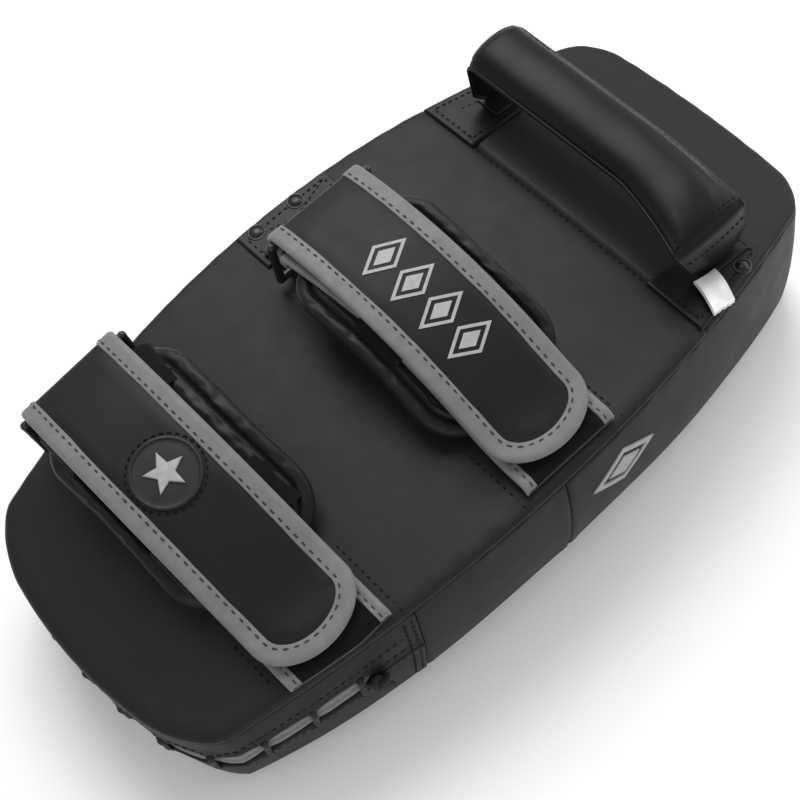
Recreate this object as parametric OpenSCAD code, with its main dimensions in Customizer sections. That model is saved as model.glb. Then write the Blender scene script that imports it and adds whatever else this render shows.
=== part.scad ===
// Curved thai pad: a barrel-shaped kick pad with two forearm straps, a grip handle
// and a laced closure. +Y runs to the handle end, +Z out of the arm side, and the
// pad lies on the two flat lands at the ends of its strike face.

/* [Pad] */
// Length of the pad
pad_length = 390; // [370:5:410]
// Width across the middle
pad_width = 200; // [190:2:210]
// Width across the handle end
top_width = 136; // [130:2:146]
// Width across the laced end
bottom_width = 142; // [134:2:150]
// Depth of the side wall at the laced end
bottom_depth = 61; // [56:1:66]
// Depth of the side wall at the handle end
top_depth = 75; // [68:1:80]
// Rise of the middle of the pad above its ends
crown = 18.5; // [14:0.5:22]
// Rise of the stuffed back face above its seam
back_puff = 2.5; // [1:0.5:4]
// Thickness of the cover
cover_t = 2; // [1.5:0.5:2.5]

/* [Straps] */
// Width of a strap flap
strap_width = 53; // [48:1:58]
// Radius of the arch that a strap makes over its cushion
arch_radius = 195; // [185:5:215]
// Height of the arch's top above the back seam
arch_height = 39; // [37:1:44]
// Distance along Y from the pad's middle to the lower strap
lower_strap_y = -113; // [-118:1:-108]
// Distance along Y from the pad's middle to the upper strap
upper_strap_y = 13; // [8:1:18]
// Place across the pad of the lower strap's ring
lower_ring_x = -79; // [-80:1:-77]
// Place across the pad of the upper strap's ring
upper_ring_x = -62; // [-66:1:-58]
// Wire diameter of the strap rings
ring_wire = 4; // [3.5:0.5:4.5]

/* [Cushions] */
// Width of a forearm cushion along the pad
cushion_width = 76; // [70:2:80]
// Thickness of a forearm cushion in its middle
cushion_t = 8; // [6:1:9]

/* [Handle] */
// Distance along Y from the pad's middle to the handle
handle_y = 132; // [128:1:136]
// Length of the handle across the pad
handle_length = 152; // [144:2:156]
// Width of the grip roll
handle_width = 31; // [28:1:34]
// Height of the grip roll's top above the back seam
handle_height = 38; // [36:1:42]

/* [Lacing] */
// Height of the slot between the laced flaps
slot_height = 12; // [11:0.5:12.5]
// Number of times that the lace crosses the slot
lace_crossings = 13; // [11:2:13]
// Diameter of the lace
lace_d = 2; // [1.6:0.2:2]

/* [Hidden] */
$fn = 48;

half = pad_length / 2;
skin_gap = 0.2;

// Plan outline: corner sizes, bow of the two ends, and the marks along the side
top_corner = 18;
bottom_corner = 25;
top_bow = 4;
bottom_bow = 10.7;
corner_weight = 0.75;
slot_end_y = -103;
flap_end_y = -80;
side_seam_y = 4;
cross_seam_y = 100;
station_step = 15;
end_steps = 5;
corner_steps = 7;

// Side wall: bulge, rounded strike edge and the lean of the laced end
wall_bulge = 3;
end_flatness = 0.8;
edge_radius = 7;
toe_in = 8;
toe_start = 60;
land_start = 172;

// Layers inside the cover
foam_back_t = 10;
foam_strike_t = 20;
strike_cover_t = 3;

// Layers of a strap, measured along the arch's radius from the flap's middle
flap_t = 2;
binding_w = 8;
binding_t = 0.3;
wrap_gap = 0.3 + binding_t;
wrap_radius = ring_wire / 2 + wrap_gap + flap_t / 2;
wrap_tail = 3.5;
base_skip = 7.2;
base_low = -6.9;
base_mid = -5.3;
loop_top = -4.5;
keeper_low = -4.1;
keeper_high = -2.7;
arch_lead = 36;
arch_end = 27;
tip_rise = 22;
tip_turn_radius = 60;
ring_inner = 57;
ring_low_h = 7.6;

slot_depth_share = 0.46;
lace_hidden = -3.4;

// ---- Curves and outlines ----

function side_x(y) =
    let (end_w = (y > 0 ? top_width : bottom_width) / 2, mid_w = pad_width / 2)
    mid_w - (mid_w - end_w) * pow(y / half, 2);

function conic(a, c, b, n) = [
    for (i = [1 : n - 1])
        let (t = i / n, u = 1 - t, m = 2 * corner_weight * t * u)
        (u * u * a + m * c + t * t * b) / (u * u + m + t * t)
];

side_marks = [
    -half + bottom_corner, slot_end_y, flap_end_y, side_seam_y, cross_seam_y,
    half - top_corner
];

side_ys = [
    for (m = [0 : len(side_marks) - 2])
        let (a = side_marks[m], b = side_marks[m + 1], n = ceil((b - a) / station_step))
        for (i = [0 : n - 1]) a + (b - a) * i / n,
    half - top_corner
];

// Right half of the outline from the laced end's middle to the handle end's middle
right_half =
    let (
        bx = bottom_width / 2 - bottom_corner,
        tx = top_width / 2 - top_corner,
        bottom_end = function (x) [x, -half + bottom_bow * pow(2 * x / bottom_width, 2)],
        top_end = function (x) [x, half - top_bow * pow(2 * x / top_width, 2)]
    )
    concat(
        [for (i = [0 : end_steps]) bottom_end(bx * i / end_steps)],
        conic(bottom_end(bx), bottom_end(bottom_width / 2),
            [side_x(side_marks[0]), side_marks[0]], corner_steps),
        [for (y = side_ys) [side_x(y), y]],
        conic([side_x(side_marks[5]), side_marks[5]], top_end(top_width / 2),
            top_end(tx), corner_steps),
        [for (i = [0 : end_steps]) top_end(tx * (1 - i / end_steps))]
    );

last_rung = len(right_half) - 1;
rim = concat(right_half, [for (i = [last_rung - 1 : -1 : 1]) [-right_half[i].x, right_half[i].y]]);
rim_count = len(rim);

function rim_at(k) = rim[(k + rim_count) % rim_count];

function rim_normal(k) =
    let (d = rim_at(k + 1) - rim_at(k - 1))
    [d.y, -d.x] / norm(d);

function rung_at(y) = [for (i = [0 : last_rung]) if (abs(right_half[i].y - y) < 0.01) i][0];

// ---- Heights ----

function back_z(y) =
    (bottom_depth + top_depth) / 2 + (top_depth - bottom_depth) / 2 * y / half
    + crown * (1 - pow(y / half, 2));

function back_slope(y) =
    atan((top_depth - bottom_depth) / pad_length - 2 * crown * y / pow(half, 2));

function strike_z(y) =
    abs(y) < land_start ? crown * pow(1 - pow(y / land_start, 2), 1.5) : 0;

function surface_z(x, y) =
    back_z(y)
    + back_puff * (1 - pow(x / side_x(y), 2)) * (1 - pow(y / half, 4));

function lean(y) = y < -toe_start ? toe_in * pow((-y - toe_start) / (half - toe_start), 2) : 0;

// ---- Lofts ----

// Solid through closed sections of equal point count; each section goes out along
// one face and back along the other, so the end caps pair its points like a ladder
module loft(sections) {
    m = len(sections[0]);
    n = len(sections);
    side_faces = [
        for (i = [0 : n - 2], j = [0 : m - 1])
            let (
                a = i * m + j,
                b = i * m + (j + 1) % m,
                c = (i + 1) * m + (j + 1) % m,
                e = (i + 1) * m + j
            )
            each [[a, e, c], [a, c, b]]
    ];
    start_cap = [
        for (j = [0 : m / 2 - 2])
            each [[j, j + 1, m - 2 - j], [j, m - 2 - j, m - 1 - j]]
    ];
    top = (n - 1) * m;
    end_cap = [for (f = start_cap) [top + f[2], top + f[1], top + f[0]]];
    polyhedron(
        points = [for (s = sections) each s],
        faces = concat(side_faces, start_cap, end_cap)
    );
}

// Sheet over the plan outline between two height functions
module layer(first, last, inset, leaned, top, bottom, across = 6) {
    rows = [
        for (i = [first : last])
            right_half[i] - rim_normal(i) * (inset + leaned * lean(right_half[i].y))
    ];
    loft([
        for (p = rows)
            concat(
                [for (j = [0 : across]) let (x = p.x * (2 * j / across - 1))
                    [x, p.y, top(x, p.y)]],
                [for (j = [across : -1 : 0]) let (x = p.x * (2 * j / across - 1))
                    [x, p.y, bottom(x, p.y)]]
            )
    ]);
}

// Point of the side wall at station k: u runs 0 to 1 down the wall and 1 to 2 round
// the strike edge, and depth goes in from the outer face
function wall_point(k, u, depth) =
    let (
        p = rim_at(k),
        n = rim_normal(k),
        foot = strike_z(p.y) + edge_radius,
        head = back_z(p.y) - cover_t - skin_gap,
        a = max(0, u - 1) * 90,
        v = min(u, 1),
        bulge = wall_bulge * (1 - end_flatness * abs(n.y)),
        out = bulge * 4 * v * (1 - v) - lean(p.y) * v - depth
            - (edge_radius - depth) * (1 - cos(a)),
        q = p + n * out
    )
    [q.x, q.y, head + (foot - head) * v - (edge_radius - depth) * sin(a)];

// Strip of side wall from station k0 to k1 between two wall positions
module wall(k0, k1, u0, u1, outer, inner, steps = 6) {
    loft([
        for (k = [k0 : k1])
            concat(
                [for (j = [0 : steps]) wall_point(k, u0(k) + (u1(k) - u0(k)) * j / steps, outer)],
                [for (j = [steps : -1 : 0]) wall_point(k, u0(k) + (u1(k) - u0(k)) * j / steps, inner)]
            )
    ]);
}

// ---- Pad ----

flap_end = rung_at(flap_end_y);
slot_end = rung_at(slot_end_y);
side_seam = rung_at(side_seam_y);
cross_seam = rung_at(cross_seam_y);

function wall_height(k) = back_z(rim_at(k).y) - cover_t - skin_gap - strike_z(rim_at(k).y) - edge_radius;

// Half height of the lacing slot, as a share of the wall, closing past its ends
function slot_half(k) =
    let (open = abs(k) <= slot_end ? 1 : 0)
    (open * (slot_height - 0.4) + 0.4) / 2 / wall_height(k);

module strike_panel() {
    color([0.10, 0.10, 0.11])
    layer(1, last_rung - 1, edge_radius + skin_gap, 1,
        function (x, y) strike_z(y) + strike_cover_t,
        function (x, y) strike_z(y), across = 4);
}

module back_panel(first, last) {
    color([0.14, 0.14, 0.15])
    layer(first, last, 0, 0,
        function (x, y) surface_z(x, y),
        function (x, y) surface_z(x, y) - cover_t);
}

module gusset(k0, k1) {
    color([0.12, 0.12, 0.13])
    wall(k0, k1, function (k) 0, function (k) 2, 0, cover_t);
}

module lace_flap_back() {
    color([0.13, 0.13, 0.14])
    wall(-flap_end, flap_end, function (k) 0,
        function (k) slot_depth_share - slot_half(k), 0, cover_t, steps = 3);
}

module lace_flap_strike() {
    color([0.13, 0.13, 0.14])
    wall(-flap_end, flap_end, function (k) slot_depth_share + slot_half(k),
        function (k) 2, 0, cover_t, steps = 5);
}

tongue_outer = 5.2;
tongue_t = 1.2;
tongue_half = 0.2;

module lace_tongue() {
    color([0.45, 0.45, 0.46])
    wall(-slot_end - 1, slot_end + 1, function (k) slot_depth_share - tongue_half,
        function (k) slot_depth_share + tongue_half, tongue_outer, tongue_outer + tongue_t,
        steps = 2);
}

// Place on the lacing band: station t (may be fractional), height above the slot's
// middle and distance out of the wall's face
function band_point(t, height, out) =
    let (
        k = floor(t),
        f = t - k,
        at = function (s) wall_point(s, slot_depth_share - height / wall_height(s), -out)
    )
    at(k) * (1 - f) + at(k + 1) * f;

// Arc length along the band from the middle of the laced end to each station
band_lengths = [
    for (i = 0, s = 0; i <= slot_end + 1;
        s = s + norm(band_point(i + 1, 0, 0) - band_point(i, 0, 0)), i = i + 1) s
];

function band_station(s) =
    let (
        a = abs(s),
        i = max([for (j = [0 : slot_end]) if (band_lengths[j] <= a) j]),
        f = (a - band_lengths[i]) / (band_lengths[i + 1] - band_lengths[i])
    )
    sign(s) * (i + f);

lace_reach = band_lengths[slot_end] - 9;
lace_pitch = 2 * lace_reach / (lace_crossings - 1);
knot_r = 4.4;
knot_station = band_station(lace_reach + 8);
knot_centre = band_point(knot_station, 0, knot_r + 0.3);

// One crossing of the slot: under the flaps at both ends and proud in the middle
crossing_profile = [[8, lace_hidden], [5, -3], [0, 0.6], [-5, -3], [-8, lace_hidden]];

lace_route = concat(
    [
        for (i = [lace_crossings - 1 : -1 : 0])
            let (s = -lace_reach + i * lace_pitch, way = i % 2 == 0 ? 1 : -1)
            each concat(
                [for (c = crossing_profile) band_point(band_station(s), way * c[0], c[1])],
                i == 0 ? [] : [
                    band_point(band_station(s - lace_pitch / 2),
                        -way * crossing_profile[0][0], lace_hidden)
                ]
            )
    ]
);

module tube(route, r, sides = 8) {
    n = len(route);
    tangent = function (i) let (d = route[min(i + 1, n - 1)] - route[max(i - 1, 0)]) d / norm(d);
    // Reference that stays out of the wall, so the rings don't twist
    outward = function (i) let (p = route[i]) [p.x, p.y / 2, 0] / norm([p.x, p.y / 2]);
    loft([
        for (i = [0 : n - 1])
            let (
                t = tangent(i),
                u0 = cross(t, outward(i)),
                u = u0 / norm(u0),
                v = cross(t, u)
            )
            [for (j = [0 : sides - 1]) route[i] + r * (cos(360 * j / sides) * u + sin(360 * j / sides) * v)]
    ]);
}

module lace_cord() {
    color([0.05, 0.05, 0.05])
    tube(lace_route, lace_d / 2);
}

module lace_knot() {
    color([0.05, 0.05, 0.05])
    translate(knot_centre) {
        sphere(r = knot_r);
        rotate([-75, 0, 8]) cylinder(r = lace_d / 2, h = knot_r + 5);
    }
}

module foam_back() {
    color([0.75, 0.72, 0.60])
    layer(1, last_rung - 1, cover_t + 0.6, 0.3,
        function (x, y) surface_z(x, y) - cover_t - skin_gap,
        function (x, y) back_z(y) - cover_t - foam_back_t, across = 4);
}

module foam_core() {
    color([0.80, 0.77, 0.66])
    layer(1, last_rung - 1, tongue_outer + tongue_t + 0.8, 0.8,
        function (x, y) back_z(y) - cover_t - foam_back_t - skin_gap,
        function (x, y) strike_z(y) + strike_cover_t + foam_strike_t + skin_gap, across = 4);
}

module foam_strike() {
    color([0.25, 0.25, 0.27])
    layer(1, last_rung - 1, cover_t + 5.5, 1,
        function (x, y) strike_z(y) + strike_cover_t + foam_strike_t,
        function (x, y) strike_z(y) + strike_cover_t + skin_gap, across = 4);
}

// ---- Things sewn on the back face ----

// Thin patch that follows the back face between two X limits
module patch(y0, y1, left, right, low, high, rows = 4, across = 3) {
    loft([
        for (i = [0 : rows])
            let (y = y0 + (y1 - y0) * i / rows)
            concat(
                [for (j = [0 : across]) let (x = left(y) + (right(y) - left(y)) * j / across)
                    [x, y, surface_z(x, y) + high]],
                [for (j = [across : -1 : 0]) let (x = left(y) + (right(y) - left(y)) * j / across)
                    [x, y, surface_z(x, y) + low]]
            )
    ]);
}

patch_low = 0.15;
patch_high = 1.6;
anchor_half = 27;
lower_anchor_reach = 34;
upper_anchor_reach = 26;
anchor_edge = 2;

module anchor_patch(yc, reach) {
    color([0.07, 0.07, 0.07])
    patch(yc - anchor_half, yc + anchor_half, function (y) -side_x(y) + anchor_edge,
        function (y) -side_x(yc) + reach, patch_low, patch_high);
}

// Local frame of a strap: level across it, tilted with the back face along the pad
module on_back(yc) {
    translate([0, yc, back_z(yc)])
    rotate([back_slope(yc), 0, 0])
    children();
}

rivet_pitch = 24;
rivet_inset = 7;
lower_rivet_inset = 25;
rivet_r = 4.2;
rivet_h = 2;

module rivet() {
    cylinder(r = rivet_r, h = 0.8);
    translate([0, 0, 0.8]) cylinder(r1 = rivet_r - 0.3, r2 = rivet_r - 2, h = rivet_h - 0.8);
}

module anchor_rivets() {
    color([0.16, 0.16, 0.17])
    for (strap = [[lower_strap_y, lower_rivet_inset], [upper_strap_y, rivet_inset]], side = [-1, 1]) {
        y = strap[0] - 6 + side * rivet_pitch / 2;
        x = -side_x(y) + strap[1];
        translate([x, y, surface_z(x, y) + patch_high + 0.35]) rotate([back_slope(y), 0, 0]) rivet();
    }
}

// ---- Straps ----

// Arch centre for a strap whose ring stands at ring_x
function arch_centre(ring_x) = [ring_x + arch_lead, arch_height - arch_radius];

function arch_point(ring_x, angle, offset) =
    arch_centre(ring_x) + (arch_radius + offset) * [sin(angle), cos(angle)];

arch_start = -asin(arch_lead / arch_radius);

function ring_bar(ring_x) = arch_point(ring_x, arch_start, -wrap_radius);

// A path is [start, pieces]: start is [x, height, heading] and each piece is
// [length, turn, steps], a straight run or an arc
function move(at, piece, s) =
    let (turn = piece[1], h = at[2], g = h + turn * s)
    turn == 0
        ? [at[0] + piece[0] * s * cos(h), at[1] + piece[0] * s * sin(h), h]
        : let (r = piece[0] / (turn * PI / 180))
            [at[0] + r * (sin(g) - sin(h)), at[1] - r * (cos(g) - cos(h)), g];

// Place on a path at distance s from its start
function along(path, s, i = 0) =
    let (at = path[0], piece = path[1][i])
    s <= piece[0] || i == len(path[1]) - 1
        ? move(at, piece, s / piece[0])
        : along([move(at, piece, 1), path[1]], s - piece[0], i + 1);

// Distances of a path's stations from its start
function marks(pieces, i = 0, s = 0) =
    i == len(pieces) ? [s] :
    concat(
        [for (k = [0 : pieces[i][2] - 1]) s + pieces[i][0] * k / pieces[i][2]],
        marks(pieces, i + 1, s + pieces[i][0])
    );

function path_length(path) = let (m = marks(path[1])) m[len(m) - 1];

// Point beside a path: y across, offset along the path's left normal
function beside(path, s, y, offset) =
    let (a = along(path, s))
    [a[0] - sin(a[2]) * offset, y, a[1] + cos(a[2]) * offset];

// Flat band along a path; half_width(s) may vary
module ribbon(path, stations, half_width, low, high) {
    loft([
        for (s = stations)
            let (w = half_width(s))
            [
                beside(path, s, -w, low), beside(path, s, w, low),
                beside(path, s, w, high), beside(path, s, -w, high)
            ]
    ]);
}

arch_steps = 16;
function arc_length(r, degrees) = r * degrees * PI / 180;

// Flap from the end of its wrap round the ring's bar to its tip; last is the flat run
function flap_path(ring_x, last) =
    let (bar = ring_bar(ring_x), h = arch_start, r = wrap_radius)
    [
        [
            bar[0] - sin(h) * r + wrap_tail * cos(h),
            bar[1] - cos(h) * r - wrap_tail * sin(h),
            180 - h
        ],
        [
            [wrap_tail, 0, 1],
            [arc_length(r, 180), -180, 10],
            [arc_length(arch_radius, arch_end - h), h - arch_end, arch_steps],
            [arc_length(tip_turn_radius, tip_rise), tip_rise, 4],
            [last, 0, 6]
        ]
    ];

// Base webbing: under the flap along the arch, then flat on the panel to the side seam
function base_path(ring_x, last) =
    let (
        skip = asin(base_skip / arch_radius),
        p = arch_point(ring_x, arch_start + skip, 0),
        turn = arch_end - arch_start - skip
    )
    [
        [p[0], p[1], -arch_start - skip],
        [
            [arc_length(arch_radius, turn), -turn, arch_steps],
            [arc_length(tip_turn_radius, tip_rise), tip_rise, 4],
            [last, arch_end - tip_rise, 4]
        ]
    ];

lower_tip_run = 17;
upper_tip_run = 7;
lower_base_run = 23;
upper_base_run = 10;
tip_length = 20;
cover_inset = 1.1;
tip_steps = 8;

// Half width of a flap that ends at distance end: full, then round at its tip
function flap_half(end, inset, s) =
    let (
        w = strap_width / 2 - inset,
        d = end - inset - s,
        r = tip_length - inset
    )
    d > r ? w : w * sqrt(max(0.02, 1 - pow(1 - max(0, d) / r, 2)));

// Stations of a flap, close together round its tip
function flap_stations(path, inset) =
    let (end = path_length(path), r = tip_length - inset)
    concat(
        [for (s = marks(path[1])) if (s < end - tip_length - 2) s],
        [for (k = [0 : tip_steps]) end - inset - r * (1 - sin(90 * k / tip_steps))]
    );

module flap_cover(ring_x, yc, last) {
    path = flap_path(ring_x, last);
    end = path_length(path);
    color([0.09, 0.09, 0.10])
    on_back(yc)
    ribbon(path, flap_stations(path, cover_inset),
        function (s) flap_half(end, cover_inset, s),
        -flap_t / 2, flap_t / 2);
}

// Channel that wraps the flap's edge along both sides and round the tip
module flap_binding(ring_x, yc, last) {
    path = flap_path(ring_x, last);
    end = path_length(path);
    straight = [for (s = marks(path[1])) if (s < end - tip_length - 2) s];
    w = strap_width / 2;
    side_spot = function (side, s) function (d) [s, side * (w - d)];
    tip_spot = function (a)
        function (d) [end - tip_length + (tip_length - d) * cos(a), (w - d) * sin(a)];
    spots = concat(
        [for (s = straight) side_spot(-1, s)],
        [for (a = [-90 : 15 : 90]) tip_spot(a)],
        [for (i = [len(straight) - 1 : -1 : 0]) side_spot(1, straight[i])]
    );
    outer = flap_t / 2 + binding_t;
    inner = flap_t / 2 + 0.05;
    section = [
        [binding_w, outer], [0, outer], [0, -outer], [binding_w, -outer],
        [binding_w, -inner], [0.75, -inner], [0.75, inner], [binding_w, inner]
    ];
    color([0.62, 0.62, 0.62])
    on_back(yc)
    loft([
        for (spot = spots)
            [for (c = section) let (q = spot(c[0])) beside(path, q[0], q[1], c[1])]
    ]);
}

hook_length = 52;

module flap_hook(ring_x, yc, last) {
    path = flap_path(ring_x, last);
    end = path_length(path);
    inset = binding_w + 1;
    color([0.05, 0.05, 0.05])
    on_back(yc)
    ribbon(path, [for (s = flap_stations(path, inset)) if (s > end - hook_length) s],
        function (s) flap_half(end, inset, s), -flap_t / 2 - 0.9, -flap_t / 2 - 0.1);
}

base_half = 25.5;

module strap_base(ring_x, yc, last) {
    path = base_path(ring_x, last);
    color([0.06, 0.06, 0.06])
    on_back(yc)
    ribbon(path, marks(path[1]), function (s) base_half - 0.6, base_low, base_mid);
}

module loop_face(ring_x, yc, last) {
    path = base_path(ring_x, last);
    color([0.04, 0.04, 0.04])
    on_back(yc)
    ribbon(path, marks(path[1]), function (s) base_half - 5.2, base_mid + 0.1, loop_top);
}

module base_binding(ring_x, yc, last) {
    path = base_path(ring_x, last);
    color([0.62, 0.62, 0.62])
    on_back(yc)
    for (side = [-1, 1])
        translate([0, side * (base_half - 2.6), 0])
        ribbon(path, marks(path[1]), function (s) 2.4, base_mid + 0.1, loop_top);
}

// ---- Rings and their loops ----

// Knuckle radius beyond the wire's at the ring's corners
ring_knuckle = 0.15;

// Rectangular wire ring with round corners, standing on its lower bar
module ring(ring_x) {
    bar = ring_bar(ring_x);
    r = ring_wire / 2;
    w = ring_inner / 2;
    rise = bar[1] - ring_low_h;
    color([0.25, 0.25, 0.27])
    translate([bar[0], 0, ring_low_h]) {
        for (z = [0, rise])
            translate([0, 0, z]) rotate([90, 0, 0]) cylinder(r = r, h = 2 * w, center = true);
        for (y = [-w, w]) {
            translate([0, y, 0]) cylinder(r = r, h = rise);
            for (z = [0, rise]) translate([0, y, z]) sphere(r = r + ring_knuckle);
        }
    }
}

loop_width = 44;
loop_clear = 0.4;
loop_t = 1.4;
lower_loop_tail = 7;
upper_loop_tail = 20;

// Band that runs from the anchor patch round the ring's lower bar; way is the side
// of the ring that its tail is sewn on, and tail is the length of it
module ring_loop(ring_x, yc, way, tail) {
    bar = ring_bar(ring_x);
    bore = ring_wire / 2 + loop_clear;
    color([0.08, 0.08, 0.08])
    on_back(yc)
    translate([bar[0], 0, ring_low_h])
    rotate([90, 0, 0])
    linear_extrude(height = loop_width, center = true)
    difference() {
        union() {
            circle(r = bore + loop_t);
            translate([way < 0 ? -tail : 0, -bore - loop_t]) square([tail, loop_t]);
        }
        circle(r = bore);
    }
}

// ---- Forearm cushions ----

cushion_gap = 0.5;
cushion_top = base_low - cushion_gap;
cushion_rim_t = 6.4;
cushion_corner = 24;
// Start and end angle of each cushion, and how far it sits to one side of its strap
lower_cushion = [-9.2, 27.5, 4];
upper_cushion = [-7.4, 28.2, 0];
pillow_across = 8;

// Pillow along the arch between two angles; shrink makes the foam inside the cover
module pillow(ring_x, span, shrink) {
    n = 12;
    mid = cushion_top - cushion_t / 2;
    r = arch_radius + mid;
    half_len = arc_length(r, span[1] - span[0]) / 2 - shrink;
    centre = (span[0] + span[1]) / 2;
    end_share = function (d) sqrt(max(0.12, 1 - pow(max(0, d - half_len + cushion_corner)
        / cushion_corner, 2)));
    loft([
        for (i = [0 : n])
            let (
                t = -cos(180 * i / n),
                along = half_len * t,
                a = centre + along / r * 180 / PI,
                grow = end_share(abs(along)),
                w = (cushion_width / 2 - shrink) - cushion_corner * (1 - grow),
                thick = function (f)
                    (cushion_rim_t + (cushion_t - cushion_rim_t) * (1 - f * f) * (1 - t * t))
                    * (0.45 + 0.55 * sqrt(max(0, 1 - pow(f, 6)))) * (0.5 + 0.5 * grow)
                    - 2 * shrink * (1 - 0.4 * abs(f)),
                at = function (f, up)
                    let (p = arch_point(ring_x, a, mid + up * thick(f) / 2))
                        [p[0], w * f + span[2], p[1]]
            )
            concat(
                [for (j = [0 : pillow_across]) at(2 * j / pillow_across - 1, -1)],
                [for (j = [pillow_across : -1 : 0]) at(2 * j / pillow_across - 1, 1)]
            )
    ]);
}

cushion_cover_t = 1.2;

module cushion_cover(ring_x, span, yc) {
    color([0.11, 0.11, 0.12])
    on_back(yc)
    difference() {
        pillow(ring_x, span, 0);
        pillow(ring_x, span, cushion_cover_t);
    }
}

module cushion_foam(ring_x, span, yc) {
    color([0.80, 0.77, 0.66])
    on_back(yc) pillow(ring_x, span, cushion_cover_t + 0.2);
}

keeper_width = 26;
keeper_foot = 6;
keeper_clear = 0.6;
lower_keeper_angles = [-4, 19];
upper_keeper_angles = [10.4];

// Loops that hold a cushion on the base webbing; they slide along it
module cushion_keepers(ring_x, yc, angles) {
    color([0.05, 0.05, 0.05])
    on_back(yc)
    for (a = angles)
        let (
            sweep = keeper_width / 2 / arch_radius * 180 / PI,
            inner = base_half + keeper_clear,
            outer = inner + 1.2,
            low = cushion_top + 0.1,
            at = function (angle, y, o) let (p = arch_point(ring_x, angle, o)) [p[0], y, p[1]],
            outline = [
                [-outer - keeper_foot, low], [-inner, low], [-inner, keeper_low],
                [inner, keeper_low], [inner, low], [outer + keeper_foot, low],
                [outer + keeper_foot, low + 1], [outer, low + 1], [outer, keeper_high],
                [-outer, keeper_high], [-outer, low + 1], [-outer - keeper_foot, low + 1]
            ]
        )
        loft([for (g = [a - sweep, a, a + sweep]) [for (q = outline) at(g, q[0], q[1])]]);
}

// ---- Handle ----

tab_t = 3.2;
roll_t = 15;
handle_base_h = 4.6;
tab_lean = 8;
bend_radius = 12;

function handle_path(rise) =
    let (
        leg = (rise - handle_base_h - bend_radius * cos(tab_lean)) / cos(tab_lean) - 0.01,
        foot_x = -handle_length / 2 + 2 + leg * sin(tab_lean),
        bend_x = foot_x - leg * sin(tab_lean) + bend_radius * cos(tab_lean),
        bend = 90 + tab_lean
    )
    [
        [foot_x, handle_base_h, bend],
        [
            [leg, 0, 5],
            [arc_length(bend_radius, bend), -bend, 6],
            [-2 * bend_x, 0, 8],
            [arc_length(bend_radius, bend), -bend, 6],
            [leg, 0, 5]
        ]
    ];

roll_mid = handle_height - roll_t / 2;

// Grip roll with its tabs: thin legs that swell into the padded roll
module grip(shrink, from, to) {
    path = handle_path(roll_mid);
    stations = marks(path[1]);
    n = len(stations) - 1;
    across = 8;
    loft([
        for (i = [round(from * n) : round(to * n)])
            let (
                climb = min(i, n - i),
                swell = min(1, max(0, (climb - 6) / 5)),
                thick = tab_t + (roll_t - tab_t) * swell * swell * (3 - 2 * swell) - 2 * shrink,
                w = (handle_width / 2 - shrink) * min(1, 0.12 + climb * 0.3),
                at = function (f, up)
                    beside(path, stations[i], w * f, up * thick / 2 * (0.35 + 0.65 * sqrt(max(0, 1 - pow(f, 4)))))
            )
            concat(
                [for (j = [0 : across]) at(2 * j / across - 1, -1)],
                [for (j = [across : -1 : 0]) at(2 * j / across - 1, 1)]
            )
    ]);
}

module on_handle() {
    translate([0, handle_y, back_z(handle_y)]) children();
}

foam_share = 0.36;

module handle_cover() {
    color([0.10, 0.10, 0.11])
    on_handle()
    difference() {
        grip(0, 0, 1);
        grip(1.2, foam_share - 0.02, 1 - foam_share + 0.02);
    }
}

module handle_foam() {
    color([0.80, 0.77, 0.66])
    on_handle() grip(1.5, foam_share, 1 - foam_share);
}

patch_near = 98;
patch_far = 149;
patch_inner = 56;

module handle_patch(side) {
    color([0.07, 0.07, 0.07])
    mirror([side < 0 ? 1 : 0, 0, 0])
    patch(patch_near, patch_far, function (y) patch_inner, function (y) side_x(y) - anchor_edge,
        patch_low, patch_high);
}

handle_rivet_x = 79;

module handle_rivets() {
    color([0.16, 0.16, 0.17])
    for (side = [-1, 1])
        translate([
            side * handle_rivet_x, handle_y + 4,
            surface_z(handle_rivet_x, handle_y + 4) + patch_high + 0.45
        ])
        rotate([back_slope(handle_y), side * 1.5, 0]) rivet();
}

foot_half = 13;
foot_t = 0.9;

// Sewn ends of the tabs, folded flat on the patches under the roll
module handle_feet() {
    foot_x = -handle_path(roll_mid)[0][0];
    color([0.08, 0.08, 0.08])
    for (side = [-1, 1])
        mirror([side < 0 ? 1 : 0, 0, 0])
        patch(handle_y - foot_half, handle_y + foot_half, function (y) foot_x - 11,
            function (y) foot_x + 2.5, patch_high + 0.1, patch_high + 0.1 + foot_t, rows = 3, across = 1);
}

label_w = 20;
label_l = 12;
label_x = 72;
label_y = 105;

// Blank folded label, sewn down at its fold ends and standing over the patch
module wash_label() {
    x_end = label_x + label_w;
    color([0.92, 0.92, 0.92])
    translate([label_x, label_y, surface_z(x_end, label_y) + patch_high + 1])
    rotate([back_slope(label_y), 2.5, 0])
    rotate([90, 0, 90])
    linear_extrude(height = label_w - 4)
    difference() {
        union() {
            square([label_l, 3.2]);
            translate([label_l, 1.6]) circle(r = 1.6);
        }
        translate([2, 1]) square([label_l - 2, 1.2]);
        translate([label_l, 1.6]) circle(r = 0.6);
    }
}

badge_r = 17;
badge_angle = 9.6;
badge_h = 1.6;

// Round rubber badge with a generic raised star on the lower flap
module badge_disc() {
    p = arch_point(lower_ring_x, badge_angle, flap_t / 2 + 0.45);
    color([0.08, 0.08, 0.08])
    on_back(lower_strap_y)
    translate([p[0], 0, p[1]])
    rotate([0, badge_angle, 0]) {
        cylinder(r = badge_r, h = badge_h);
        linear_extrude(height = badge_h + 0.8)
        polygon([for (i = [0 : 9]) (i % 2 == 0 ? 10 : 4.5) * [cos(36 * i), sin(36 * i)]]);
    }
}

// ---- Nodes ----

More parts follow.
